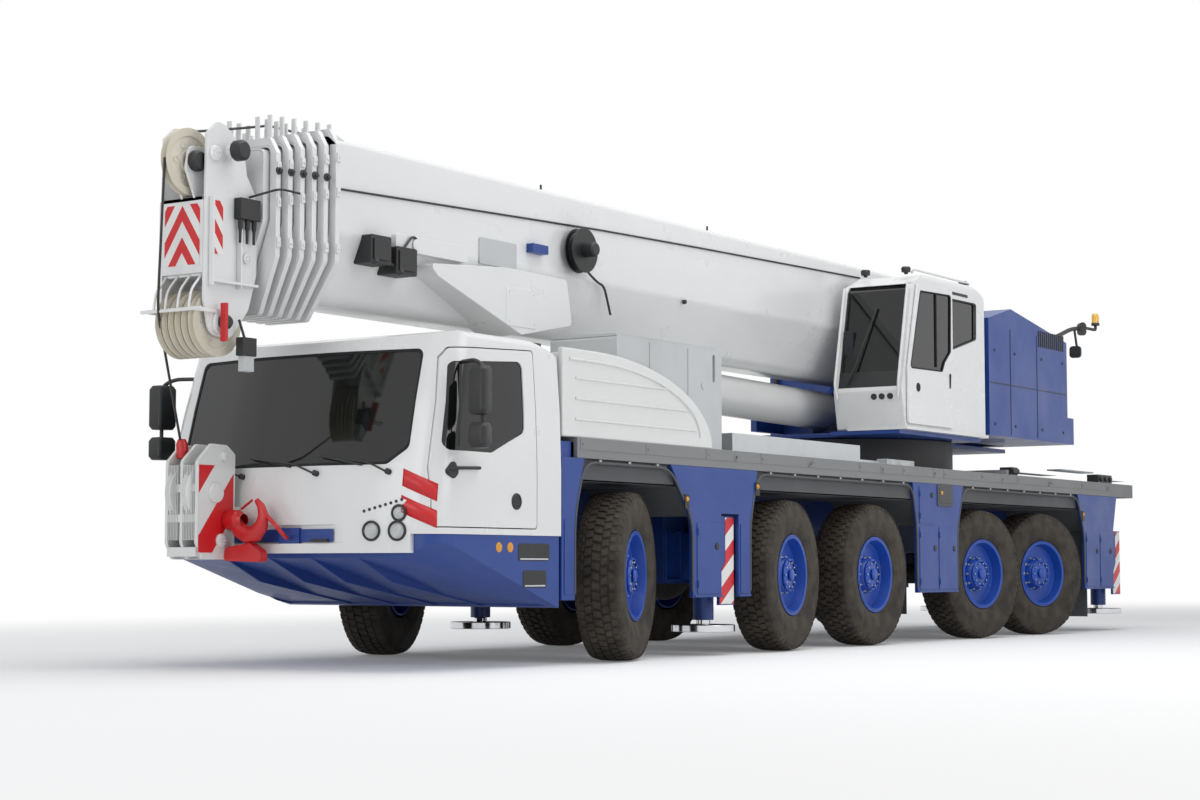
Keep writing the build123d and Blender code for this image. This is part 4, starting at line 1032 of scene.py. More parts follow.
brick(bm, front_at(0.42, 0.945) - 0.03, front_at(0.42, 0.945) + 0.002, 0.343, 0.50, 0.936, 0.956)
# wipers: a hub, a sprung arm and a blade lying along the bottom of the screen
for y, z, reach in ((-0.35, 1.424, -0.62), (0.372, 1.433, -0.62), (0.974, 1.435, -0.55)):
    x = front_at(y, z)
    lathe(bm, [(0.022, -0.01), (0.022, 0.028), (0.014, 0.036), (0, 0.037)], at(x, y, z), (1, 0, 0.2), 16)
    tip_y, tip_z = y + reach, z + 0.12
    tip = at(front_at(tip_y, tip_z) + 0.012, tip_y, tip_z)
    pipe(bm, [at(x + 0.03, y, z), at(x + 0.028, y + reach * 0.3, z + 0.07), tip], 0.008, 0.05, 8)
    for part in range(6):
        a, b = y + reach * (0.40 + part * 0.11), y + reach * (0.40 + (part + 1) * 0.11)
        za, zb = z + 0.12 * (0.46 + part * 0.10), z + 0.12 * (0.46 + (part + 1) * 0.10)
        pipe(bm, [at(front_at(a, za) + 0.010, a, za), at(front_at(b, zb) + 0.010, b, zb)], 0.009, 0, 6)
# roof camera with its knob
brick(bm, 1.10, 1.26, 1.12, 1.24, 2.36, 2.47)
lathe(bm, [(0.03, 0), (0.03, 0.03), (0, 0.035)], at(1.18, 1.24, 2.43), (0, 1, 0), 20)
piece("cab_fittings", bm, "carrier", [black_plastic], 0.002)
bm = bmesh.new()
brick(bm, cab_front - 0.05, cab_front - 0.004, 0.03, 0.225, 0.905, 1.04)
brick(bm, 2.695, 2.70, -0.54, 0.54, 0.935, 1.03)
piece("tow_plate", bm, "carrier", [panel_blue], 0.004)


def wrapped(bm, cells, z_of, lift=0.002):
    """A sheet laid on the cab's corner: each cell goes from one plan point to the next."""
    half = [(cab_rear, half_width), (cab_front - cab_sweep, half_width), (cab_front, cab_flat)]
    line = [Vector(p) for p in rounded(half, [0, cab_corner, 0], 24)][1:]
    lengths = [0.0]
    for a, b in zip(line, line[1:]):
        lengths.append(lengths[-1] + (b - a).length)

    def place(s, z):
        i = max(j for j, length in enumerate(lengths[:-1]) if length <= s)
        p = line[i].lerp(line[i + 1], (s - lengths[i]) / (lengths[i + 1] - lengths[i]))
        ahead = (line[i + 1] - line[i]).normalized()
        out = Vector((-ahead.y, ahead.x)) * (1 if -ahead.y > 0 or ahead.x > 0 else -1)
        out = out if out.x >= -0.01 and out.y >= -0.01 else -out
        lean = 0.0 if z <= 1.23 else 0.030 * (z - 1.23) / 0.26
        return at(p.x - lean + out.x * lift, p.y + out.y * lift, z)

    for s0, s1 in cells:
        bm.faces.new([bm.verts.new(place(s, z)) for s, z in
                      ((s0, z_of(s0)[0]), (s1, z_of(s1)[0]), (s1, z_of(s1)[1]), (s0, z_of(s0)[1]))])


bm = bmesh.new()
start, reach = 0.165, 0.27
cells = [(start + reach * i / 16, start + reach * (i + 1) / 16) for i in range(16)]
for base in (1.03, 1.22):
    wrapped(bm, cells, lambda s: (base + 0.42 * (s - start), base + 0.125 + 0.42 * (s - start)))
bmesh.ops.remove_doubles(bm, verts=bm.verts, dist=0.0004)
mirrored(bm)
thing = piece("corner_bands", bm, "carrier", [sheet_red], 0.0)
thick = thing.modifiers.new("sheet", "SOLIDIFY")
thick.thickness = 0.0015
canvas, tree = blank("woven cotton canvas")
# Woven cloth: matt tan with a visible weave and darker stains in soft patches.
spot = add(tree, "ShaderNodeTexCoord")
weave = add(tree, "ShaderNodeTexWave", {0: spot.outputs["Object"]}, Scale=70.0, Distortion=1.5)
stain = add(tree, "ShaderNodeTexNoise", {0: spot.outputs["Object"]}, Scale=6.0, Detail=6.0)
tone = two_tone(tree, stain.outputs[0], "#B08A60", "#8A6844")
bump = add(tree, "ShaderNodeBump", {"Height": weave.outputs[0]}, Strength=0.4, Distance=0.002)
surface(tree, {"Base Color": tone, "Normal": bump.outputs[0]}, Roughness=0.9, Sheen_Weight=0.3)
bm = bmesh.new()
rolls = [(0.0, 0), (0.045, 0.002), (0.058, 0.02), (0.060, 0.14), (0.055, 0.16), (0.060, 0.18), (0.060, 0.34),
         (0.055, 0.36), (0.060, 0.38), (0.058, 0.48), (0.045, 0.498), (0, 0.50)]
lathe(bm, rolls, at(2.10, 1.17, 2.42), (-1, 0, 0), 28)
piece("sun_blind_roll", bm, "carrier", [canvas], 0.0)

# Inside the cab: a moulded dashboard with a round steering wheel, two sprung seats in black cloth
# and a sun visor, all dark behind the tinted glass.
# Seat cloth: dull and near black, only a shape behind the glass.
seat_cloth = rubber("black seat cloth", "#26272B", "#34353A")
bm = bmesh.new()
brick(bm, 1.09, 2.35, -1.28, 1.28, 1.05, 1.08)
slab(bm, rounded([(2.25, 1.08), (2.28, 1.38), (2.45, 1.42), (2.55, 1.36), (2.58, 1.08)], 0.05), 1, -1.15,
     1.15)
slab(bm, rounded([(1.09, 1.08), (1.09, 1.62), (1.36, 1.62), (1.40, 1.08)], 0.04), 1, -0.33, 0.33)
wheel_at = at(2.13, 0.72, 1.62)
tilt = Vector((-0.5, 0, 0.86)).normalized()
side = tilt.orthogonal().normalized()
up = tilt.cross(side)
rim_points = [wheel_at + (side * math.cos(a) + up * math.sin(a)) * 0.21 for a in
              [2 * math.pi * i / 32 for i in range(33)]]
pipe(bm, rim_points, 0.016, 0.01, 8)
for spoke in (0, 2.1, 4.2):
    pipe(bm, [wheel_at, wheel_at + (side * math.cos(spoke) + up * math.sin(spoke)) * 0.205], 0.014, 0, 8)
pipe(bm, [wheel_at, at(2.30, 0.72, 1.30)], 0.03, 0, 12)
slab(bm, [(2.20, 2.22), (2.24, 2.22), (2.30, 2.05), (2.27, 2.05)], 1, -1.05, 1.05)
piece("cab_dashboard", bm, "carrier", [black_plastic], 0.004)
bm = bmesh.new()
for y in (0.72, -0.72):
    slab(bm, rounded([(1.42, 1.35), (1.42, 1.47), (1.90, 1.50), (1.93, 1.38)], 0.04), 1, y - 0.25, y + 0.25)
    slab(bm, rounded([(1.44, 1.44), (1.26, 2.02), (1.36, 2.05), (1.56, 1.46)], 0.04), 1, y - 0.24, y + 0.24)
    slab(bm, rounded([(1.26, 2.04), (1.22, 2.22), (1.30, 2.24), (1.35, 2.06)], 0.03), 1, y - 0.13, y + 0.13)
    lathe(bm, [(0.16, 0), (0.14, 0.10), (0.12, 0.27)], at(1.66, y, 1.08), (0, 0, 1), 24)
piece("cab_seats", bm, "carrier", [seat_cloth], 0.02)

# The covers behind the cab: glass-fibre fairings with pressed ribs under a quarter-ellipse crown, the
# hood between them and the grey sheet-steel air tower, screwed to the deck.
# Gelcoat: white with long soft ripples from the mould.
gelcoat = coated("white gelcoat", "#D8D9D8", 0.34, dust="#B0ACA2", dust_share=0.12, peel_mm=9)
# Sheet enamel of the tower: a flat light grey beside the white.
tower_grey = coated("light grey sheet enamel", "#B9BCBD", 0.42, dust="#8C8880", peel_mm=4, clear=0.2)
cover_front, cover_crown, cover_top, cover_rear = 0.99, 0.55, 2.45, -1.25


def fairing_edge(inset, drop=0.0):
    """Side outline of the fairing: level behind the cab, then a quarter ellipse to the deck."""
    low = deck_top + inset
    high = cover_top - inset - drop
    length = cover_crown - cover_rear - 2.5 * inset
    points = [(cover_front - inset, low), (cover_front - inset, high)]
    for step in range(33):
        turn = math.pi / 2 * step / 32
        points.append((cover_crown - length * math.sin(turn), low + (high - low) * math.cos(turn)))
    return points


bm = bmesh.new()
slab(bm, fairing_edge(0), 1, half_width - 0.06, half_width - 0.008)
slab(bm, fairing_edge(0), 1, -half_width + 0.008, -half_width + 0.06)
brick(bm, cover_rear, cover_front, -half_width + 0.06, 0.64, deck_top, cover_top - 0.04)
brick(bm, 0.13, cover_front, 0.64, half_width - 0.06, deck_top, cover_top - 0.04)
piece("fairing_panels", bm, "carrier", [gelcoat], 0.014, ["engine_covers"], 30)
bm = bmesh.new()
frame_line = [at(x, half_width - 0.004, z) for x, z in fairing_edge(0.085)[1:]]
pipe(bm, frame_line, 0.012, 0.0, 8)
# the pressed ribs: long horizontal beads, each ending on the ellipse
for z in (1.90, 2.06, 2.22):
    share = math.sqrt(max(0.0, 1 - ((z - deck_top - 0.085) / (cover_top - deck_top - 0.17)) ** 2))
    end = cover_crown - (cover_crown - cover_rear - 0.21) * share + 0.05
    run = [at(0.82, half_width - 0.006, z), at(end, half_width - 0.006, z)]
    pipe(bm, run, 0.011, 0.0, 8)
mirrored(bm)
piece("fairing_ribs", bm, "carrier", [gelcoat], 0.0)
bm = bmesh.new()
slab(bm, rounded([(0.13, deck_top), (0.13, 2.62), (-1.45, 2.62), (-1.51, 2.56), (-1.51, deck_top)],
                 [0, 0.03, 0.03, 0.03, 0]), 1, 0.642, half_width - 0.075)
tool = bmesh.new()
rounded_plate(tool, -1.36, -1.40, 2.34, 2.58, 1.25, 1.35, 0.018)
bm = shaped(bm, tool)
# folded seams, a lid and two latches
for x in (-0.35, -0.95):
    brick(bm, x, x - 0.012, half_width - 0.076, half_width - 0.068, deck_top + 0.02, 2.60)
brick(bm, 0.12, -1.44, 0.65, half_width - 0.09, 2.618, 2.64)
for x in (-0.06, -1.20):
    lathe(bm, [(0.03, 0), (0.03, 0.008), (0.01, 0.01), (0, 0.01)], at(x, half_width - 0.075, 2.30),
          (0, 1, 0), 20)
piece("air_tower", bm, "carrier", [tower_grey], 0.006)

# The hook block, parked in front of the cab: two welded side plates round its sheaves, guards with
# ribbed fronts, and a forged red hook on a swivel. It hangs in its rest by a red wedge socket.
# Thick enamel over rough plate: white, satin, with dust in soft patches.
block_white = coated("white structural enamel", "#D9DAD9", 0.36, dust="#A8A49A", dust_share=0.2, peel_mm=5)
# Enamel on a forging: red and uneven underneath, with rusty dust in soft patches.
forged_red = coated("red enamel on forged steel", "#BF1016", 0.42, dust="#6E1E1C", dust_share=0.3,
                    peel_mm=7, clear=0.2)
block_left, block_right = -0.35, -0.68
bm = bmesh.new()
outline = [(2.80, 0.81), (2.78, 0.90), (2.78, 1.59), (2.87, 1.655), (3.03, 1.66), (3.17, 1.53), (3.17, 0.93),
           (3.11, 0.81)]
for y0, y1 in ((block_left - 0.03, block_left), (block_right, block_right + 0.03), (-0.53, -0.50)):
    slab(bm, rounded(outline, 0.03), 1, y0, y1)
for x0, x1, z0, z1 in ((3.02, 3.165, 0.83, 0.90), (3.02, 3.165, 1.08, 1.14), (3.02, 3.165, 1.30, 1.36),
                       (2.79, 2.86, 0.90, 1.58), (2.90, 3.08, 0.83, 0.88)):
    brick(bm, x0, x1, block_right + 0.02, block_left - 0.02, z0, z1)
for y in (-0.605, -0.44):
    lathe(bm, [(0.05, -0.03), (0.225, -0.03), (0.235, -0.026), (0.21, -0.006), (0.21, 0.006), (0.235, 0.026),
               (0.225, 0.03), (0.05, 0.03)], at(2.99, y, 1.30), (0, 1, 0), 48)
    for index in range(7):
        brick(bm, 3.10, 3.172, y - 0.05 + 0.016 * index, y - 0.044 + 0.016 * index, 0.95, 1.50)
for x, z, radius in ((2.99, 1.30, 0.075), (2.93, 0.95, 0.05), (2.90, 1.57, 0.035)):
    lathe(bm, [(radius, -0.01), (radius, 0.018), (radius - 0.012, 0.022), (0, 0.022)], at(x, block_left, z),
          (0, 1, 0), 32)
    bolt_ring(bm, at(x, block_left + 0.02, z), (0, 1, 0), radius - 0.02, 6, 0.008, 0.008)
brick(bm, 2.64, 2.79, -0.42, -0.355, 1.08, 1.20)
piece("hook_block_frame", bm, "carrier", [block_white], 0.004, ["hook_block"])
outline = [(2.80, 0.86), (2.80, 1.50), (3.16, 1.50), (3.16, 0.86)]
bm = banded(outline, 1, block_left + 0.001, (0.9, 0, 0.7), 0.19, 0.05, 0.002)
piece("hook_block_bands", bm, "carrier", [block_white, sheet_red], 0.0)
bm = bmesh.new()
hook_line = [(-0.20, 1.10, 0.060), (-0.125, 1.02, 0.062), (-0.045, 0.985, 0.066), (0.03, 1.0, 0.064),
             (0.085, 1.06, 0.056), (0.10, 1.13, 0.046), (0.075, 1.20, 0.032), (0.03, 1.245, 0.020)]
rings = []
for i, (y, z, radius) in enumerate(hook_line):
    before, after = hook_line[max(i - 1, 0)], hook_line[min(i + 1, len(hook_line) - 1)]
    ahead = Vector((0, after[0] - before[0], after[1] - before[1])).normalized()
    out = Vector((0, -ahead.z, ahead.y))
    rings.append([bm.verts.new(at(2.85, y - 0.10, z) + Vector((0.75 * math.cos(a), 0, 0)) * radius
                               + out * math.sin(a) * radius) for a in [math.pi * k / 8 for k in range(16)]])
bm.faces.new(rings[0])
bm.faces.new(rings[-1])
walled(bm, rings)
lathe(bm, [(0, -0.01), (0.06, -0.01), (0.075, 0.0), (0.075, 0.10), (0.055, 0.12), (0.045, 0.15)],
      at(2.85, -0.34, 1.10), (0, 1, 0.0), 32)
slab(bm, rounded([(-0.36, 0.80), (-0.34, 0.90), (-0.10, 0.93), (0.0, 0.87), (0.02, 0.79)], 0.03), 0, 2.81,
     2.89)
pipe(bm, [at(2.85, 0.02, 1.14), at(2.86, 0.14, 1.05), at(2.80, 0.16, 0.98), at(2.74, 0.13, 0.968)], 0.016,
     0.03)
pipe(bm, [at(2.85, -0.11, 1.245), at(2.85, -0.22, 1.18)], 0.010)
lathe(bm, [(0.03, -0.05), (0.045, -0.04), (0.045, 0.06), (0.028, 0.10), (0, 0.10)], at(3.06, -0.62, 1.60),
      (0.1, 0, 1), 20)
piece("lifting_hook", bm, "carrier", [forged_red], 0.004)

# The slewing ring and turntable: a bolted ball-bearing ring carries blue welded cheeks, with the
# luffing cylinder's lugs between them.
# Superstructure enamel: the same blue, glossier and cleaner than the panels by the road.
blue_steel = coated("blue superstructure enamel", "#123B88", 0.4, dust="#334C80", dust_share=0.3, peel_mm=4,
                    clear=0.15)
piece("ring_race", borrowed("slewing_ring"), "carrier", [cast_black], 0.004, ["slewing_ring"])
piece("turntable_plates", borrowed("turntable"), "superstructure", [blue_steel], 0.008,
      ["turntable"])
bm = bmesh.new()
bolt_ring(bm, at(-6.4, 0, 2.055), (0, 0, 1), 0.985, 60, 0.017, 0.016, 0.002)
piece("ring_bolts", bm, "carrier", [zinc], 0.0)

# The crane cab: a pressed and glued shell in white with a rounded roof edge. It has a leaning front
# pane over a black band, a sliding door on rails, white handrails and roof lamps.
cab_side = [(-6.97, 2.135), (-6.97, 3.63), (-6.72, 3.745), (-5.55, 3.745), (-5.20, 3.61), (-4.952, 2.52),
            (-5.03, 2.135)]
cab_radii = [0.03, 0.08, 0.12, 0.20, 0.12, 0.06, 0.03]
inner_y, outer_y = 0.575, 1.335


def crane_form(inset):
    """The crane cab's outside, or the same drawn in by a wall."""
    mid_x, mid_z = -5.96, 2.94
    outline = [(x - math.copysign(inset, x - mid_x), z - math.copysign(inset, z - mid_z))
               for x, z in cab_side]
    bm = bmesh.new()
    slab(bm, rounded(outline, [max(r - inset, 0.01) for r in cab_radii], 8), 1, inner_y + inset,
         outer_y - inset)
    if inset < 0.02:
        across = bmesh.new()
        outline = [(inner_y - 0.1, 2.0), (inner_y - 0.1, 3.8), (outer_y - inset, 3.76),
                   (outer_y - inset, 2.0)]
        slab(across, rounded(outline, [0, 0, 0.09, 0], 8), 0, -7.1, -4.8)
        bm = shaped(bm, across, "INTERSECT")
    return bm


crane_window = [(-5.34, 3.548), (-6.058, 3.571), (-6.042, 2.982), (-5.90, 2.865), (-5.838, 2.765),
                (-5.096, 2.751)]
quarter = [(-6.15, 3.55), (-6.76, 3.555), (-6.75, 3.174), (-6.15, 3.02)]
door_shape = [(-5.05, 2.19), (-5.05, 2.74), (-5.29, 3.62), (-6.104, 3.645), (-6.104, 2.19)]
bm = shaped(crane_form(0), crane_form(0.04))
tool = bmesh.new()
brick(tool, -5.6, -4.8, inner_y + 0.045, outer_y - 0.045, 2.56, 3.62)
slab(tool, rounded(crane_window, 0.03), 1, outer_y - 0.1, outer_y + 0.1)
slab(tool, rounded(quarter, 0.03), 1, outer_y - 0.1, outer_y + 0.1)
bm = shaped(bm, tool)
piece("crane_cab_shell", bm, "superstructure", [cab_white], 0.005, ["crane_cab"], 25)
# the front pane leans with the corner posts, with a strip over it, and the side pane is behind the door
bm = bmesh.new()
slab(bm, [(-4.972, 2.56), (-4.98, 2.56), (-5.205, 3.56), (-5.197, 3.56)], 1, inner_y + 0.045,
     outer_y - 0.045)
slab(bm, [(-5.197, 3.56), (-5.205, 3.56), (-5.28, 3.62), (-5.27, 3.62)], 1, inner_y + 0.045, outer_y - 0.045)
slab(bm, rounded(quarter, 0.03), 1, outer_y - 0.03, outer_y - 0.022)
piece("crane_cab_panes", bm, "superstructure", [tinted], 0.0, ["crane_cab_glass"])
bm = bmesh.new()
slab(bm, [(-4.966, 2.552), (-4.970, 2.552), (-5.008, 2.72), (-5.004, 2.72)], 1, inner_y + 0.03,
     outer_y - 0.03)
rim = rounded(quarter, 0.03)
pipe(bm, [at(x, outer_y - 0.006, z) for x, z in rim + rim[:1]], 0.010, 0.0, 6)
# screen wiper, the vent strip behind the door, three round vents under the pane and the roof lamps
pipe(bm, [at(-4.955, 0.72, 2.60), at(-4.97, 0.80, 2.75), at(-5.135, 0.98, 3.38)], 0.010, 0.04, 8)
brick(bm, -6.11, -6.55, outer_y - 0.001, outer_y + 0.003, 3.600, 3.630)
for y, z in ((1.022, 2.465), (1.11, 2.465), (1.203, 2.465)):
    lathe(bm, [(0.034, -0.02), (0.034, 0.014), (0.028, 0.018), (0, 0.012)], at(-4.975, y, z), (1, 0, 0), 24)
for x, y in ((-5.40, 0.72), (-5.40, 1.18), (-6.78, 1.18)):
    lathe(bm, [(0.02, 0), (0.02, 0.02), (0.045, 0.02), (0.05, 0.06), (0.04, 0.075), (0, 0.078)],
          at(x, y, 3.74), (0, 0, 1), 20)
piece("crane_cab_trim", bm, "superstructure", [black_plastic], 0.0)
bm = bmesh.new()
slab(bm, rounded(door_shape, 0.03), 1, outer_y + 0.006, outer_y + 0.032)
tool = bmesh.new()
slab(tool, rounded(crane_window, 0.03), 1, outer_y - 0.1, outer_y + 0.1)
bm = shaped(bm, tool)
piece("sliding_door_skin", bm, "crane_door", [cab_white], 0.004, ["crane_cab_door"], 25)
bm = bmesh.new()
slab(bm, rounded(crane_window, 0.03), 1, outer_y + 0.012, outer_y + 0.020)
piece("sliding_door_pane", bm, "crane_door", [tinted], 0.0)
bm = bmesh.new()
rim = rounded(crane_window, 0.03)
pipe(bm, [at(x, outer_y + 0.028, z) for x, z in rim + rim[:1]], 0.009, 0.0, 6)
brick(bm, -5.70, -5.715, outer_y + 0.018, outer_y + 0.034, 2.80, 3.55)
lathe(bm, [(0.045, 0), (0.045, 0.006), (0.03, 0.008), (0, 0.008)], at(-5.268, outer_y + 0.030, 2.563),
      (0, 1, 0), 28)
pipe(bm, [at(-6.02, outer_y + 0.03, 2.60), at(-6.02, outer_y + 0.036, 2.75)], 0.012)
piece("sliding_door_trim", bm, "crane_door", [seal_rubber], 0.0)
bm = bmesh.new()
# the handrail round the front corner and along the roof, and the step below the door
pipe(bm, [at(-4.93, outer_y - 0.03, 2.45), at(-4.90, outer_y - 0.01, 2.60),
          at(-5.13, outer_y - 0.01, 3.60)], 0.014, 0.05)
pipe(bm, [at(-5.45, 1.22, 3.75), at(-5.45, 1.24, 3.79), at(-6.80, 1.24, 3.79), at(-6.80, 1.22, 3.75)],
     0.012, 0.04)
pipe(bm, [at(-4.93, inner_y + 0.05, 2.45), at(-4.90, inner_y + 0.04, 2.60), at(-5.13, inner_y + 0.04, 3.60)],
     0.014, 0.05)
brick(bm, -5.00, -6.97, 0.70, outer_y + 0.036, 2.13, 2.16)
piece("crane_cab_rails", bm, "superstructure", [block_white], 0.0)
bm = bmesh.new()
slab(bm, rounded([(-6.25, 2.55), (-6.25, 2.68), (-5.75, 2.70), (-5.72, 2.58)], 0.04), 1, 0.72, 1.20)
slab(bm, rounded([(-6.20, 2.66), (-6.42, 3.30), (-6.30, 3.33), (-6.06, 2.68)], 0.04), 1, 0.73, 1.19)
slab(bm, rounded([(-6.42, 3.33), (-6.46, 3.52), (-6.37, 3.53), (-6.32, 3.35)], 0.03), 1, 0.85, 1.07)
lathe(bm, [(0.18, 0), (0.14, 0.2), (0.12, 0.38)], at(-6.0, 0.96, 2.17), (0, 0, 1), 24)
for y in (0.66, 1.24):
    slab(bm, rounded([(-6.1, 2.75), (-6.1, 2.90), (-5.65, 2.90), (-5.65, 2.78)], 0.03), 1, y - 0.04,
         y + 0.04)
    pipe(bm, [at(-5.72, y, 2.9), at(-5.70, y, 3.05)], 0.02)
brick(bm, -5.25, -5.05, 0.64, 0.74, 2.9, 3.15)
piece("crane_seat", bm, "superstructure", [seat_cloth], 0.015)

# The tail: blue sheet-steel boxes on each side with a louvred cooler in black behind, the ballast
# slab across the rear, and an arm with the beacon and a mirror.
tail_y = 1.35
piece("tail_boxes", borrowed("tail_housing"), "superstructure", [blue_steel], 0.008,
      ["tail_housing"])
bm = bmesh.new()
for index in range(13):
    x = -8.42 - index * 0.058
    brick(bm, x, x - 0.034, tail_y - 0.004, tail_y + 0.006, 3.24, 3.42)
for x in (-7.62, -8.36):
    brick(bm, x, x - 0.010, tail_y - 0.001, tail_y + 0.004, 2.20, 3.36)
brick(bm, -7.08, -9.22, tail_y - 0.001, tail_y + 0.004, 2.74, 2.75)
for x in (-7.2, -7.75, -8.5, -9.12):
    for z in (2.30, 3.10):
        lathe(bm, [(0.016, 0), (0.016, 0.006), (0, 0.008)], at(x, tail_y, z), (0, 1, 0), 12)
pipe(bm, [at(-6.99, 1.22, 2.35), at(-6.98, 1.24, 2.75), at(-7.03, 1.26, 3.05)], 0.03, 0.08)
mirrored(bm)
piece("tail_grilles", bm, "superstructure", [black_plastic], 0.0)
# Acrylic beacon dome: saturated yellow under a hard clear gloss.
lens_yellow = coated("yellow acrylic beacon", "#E8B21E", 0.12, dust="#B08A30", dust_share=0.08, clear=1.0)
bm = bmesh.new()
pipe(bm, [at(-9.10, 1.25, 3.40), at(-9.60, 1.27, 3.55), at(-9.98, 1.28, 3.60)], 0.025, 0.1)
pipe(bm, [at(-9.98, 1.28, 3.60), at(-10.30, 1.30, 3.60), at(-10.30, 1.30, 3.66)], 0.018, 0.05)
pipe(bm, [at(-9.70, 1.27, 3.56), at(-9.72, 1.29, 3.35)], 0.014)
lathe(bm, [(0.05, 0), (0.05, 0.02), (0.045, 0.03)], at(-10.30, 1.30, 3.655), (0, 0, 1), 24)
lathe(bm, [(0.044, 0), (0.044, 0.09), (0.034, 0.115), (0, 0.125)], at(-10.30, 1.30, 3.68), (0, 0, 1), 24, 1)
slab(bm, rounded([(1.20, 3.22), (1.20, 3.36), (1.34, 3.36), (1.34, 3.22)], 0.04), 0, -9.74, -9.71)
for z in (3.54, 3.60):
    lathe(bm, [(0.045, 0), (0.045, 0.05), (0.05, 0.06), (0, 0.05)], at(-9.86, 1.28, z), (0.6, 0.8, 0), 20)
piece("beacon_arm", bm, "superstructure", [black_plastic, lens_yellow], 0.0)
rope_steel, tree = blank("galvanised wire rope")
# Stranded steel: dark and greasy, with the lay of the strands as a fine diagonal twist. The same twist
# paints shade into the colour: darker in the grooves between the strands as painted shade, lighter on
# their crowns as a painted highlight. The strands are drawn at about twice their real pitch so that they show.
spot = add(tree, "ShaderNodeTexCoord")
strand_relief_and_shade = add(tree, "ShaderNodeTexWave", {0: spot.outputs["Object"]}, Scale=45.0, bands_direction="DIAGONAL")
bump = add(tree, "ShaderNodeBump", {"Height": strand_relief_and_shade.outputs[0]}, Strength=0.8, Distance=0.003)
# painted shade between the strands and a painted highlight on their crowns, from the same wave as the bump
tone = two_tone(tree, strand_relief_and_shade.outputs[0], "#1E1D1B", "#55534F")
surface(tree, {"Base Color": tone, "Normal": bump.outputs[0]}, Roughness=0.45, Metallic=0.8)
piece("winch_frame", borrowed("hoist_winch"), "superstructure", [blue_steel], 0.006,
      ["hoist_winch"])
bm = bmesh.new()
for index in range(30):
    y = -0.36 + index * 0.0248
    lathe(bm, [(0.204, -0.011), (0.212, -0.006), (0.214, 0), (0.212, 0.006), (0.204, 0.011)],
          Vector((at(-9.07, 0, 0).x, y, 2.79)), (0, 1, 0), 32)
piece("winch_rope", bm, "superstructure", [rope_steel], 0.0)

# The boom: seven bent-plate box sections with rounded undersides, nested, each with a thick welded
# collar round its mouth. All are white, and each collar has pad wedges on its sides.
boom_low, boom_high, boom_half, boom_wall, nest, waist = 2.70, 3.92, 0.44, 0.012, 0.026, 0.42
collar_x, collar_step, collar_t = 2.60, 0.10, 0.045
# Boom enamel: clean white with long ripples from the rolled plate.
boom_white = coated("white boom enamel", "#DDDEDE", 0.3, dust="#BAB7AF", dust_share=0.10, peel_mm=7)


def section_edge(level):
    """Front outline of a section: straight sides on a rounded, narrowing underside."""
    w, low, high = boom_half - nest * level, boom_low + nest * level, boom_high - nest * level
    knee = low + waist * (high - low)
    half = [(0.5 * w, low), (w, knee), (w, high)]
    radius = 0.35 * w
    return rounded([(-y, z) for y, z in reversed(half)] + half,
                   [0.05, radius, radius, radius, radius, 0.05], 8)


def tube(bm, level, x0, x1):
    """A hollow section: an outer and an inner skin joined by their ends."""
    rings = []
    for x, depth in ((x0, 0), (x1, 0), (x1, boom_wall / nest), (x0, boom_wall / nest)):
        rings.append([bm.verts.new(at(x, y, z)) for y, z in section_edge(level + depth)])
    walled(bm, rings + rings[:1])


def collar(bm, level, x):
    """Welded flange round the mouth of a section, with its gusset fins on top and its pad wedges."""
    w, high = boom_half - nest * level, boom_high - nest * level
    inner = section_edge(level - 0.02)
    edge = w + 0.05
    half = [(0.20, boom_low - 0.14), (edge, boom_low + 0.28), (edge, high - 0.06),
            (edge - 0.07, high + 0.06)]
    outer = rounded([(-y, z) for y, z in reversed(half)] + half,
                    [0.02, 0.02, 0.06, 0.04, 0.04, 0.06, 0.02, 0.02], 4)
    form, hole = bmesh.new(), bmesh.new()
    slab(form, outer, 0, x, x + collar_t)
    slab(hole, inner, 0, x - 0.1, x + collar_t + 0.1)
    form = shaped(form, hole)
    mesh = bpy.data.meshes.new("form")
    form.to_mesh(mesh)
    form.free()
    bm.from_mesh(mesh)
    bpy.data.meshes.remove(mesh)
    for y in (-edge + 0.10, -0.14, 0.14, edge - 0.10):
        slab(bm, [(x - 0.16, high + 0.002), (x + 0.005, high + 0.055), (x + 0.005, high + 0.002)], 1,
             y - 0.008, y + 0.008)
        brick(bm, x + 0.004, x + 0.018, y - 0.02, y + 0.02, high + 0.04, 4.02)
    for side in (1, -1):
        for z in (high - 0.16, high - 0.42, boom_low + 0.38):
            brick(bm, x + 0.004, x + collar_t - 0.004, side * edge, side * (edge + 0.014), z - 0.035,
                  z + 0.035)
            bolt(bm, at(x + collar_t / 2, side * (edge + 0.013), z), (0, side, 0), 0.011, 0.010, 0.002)


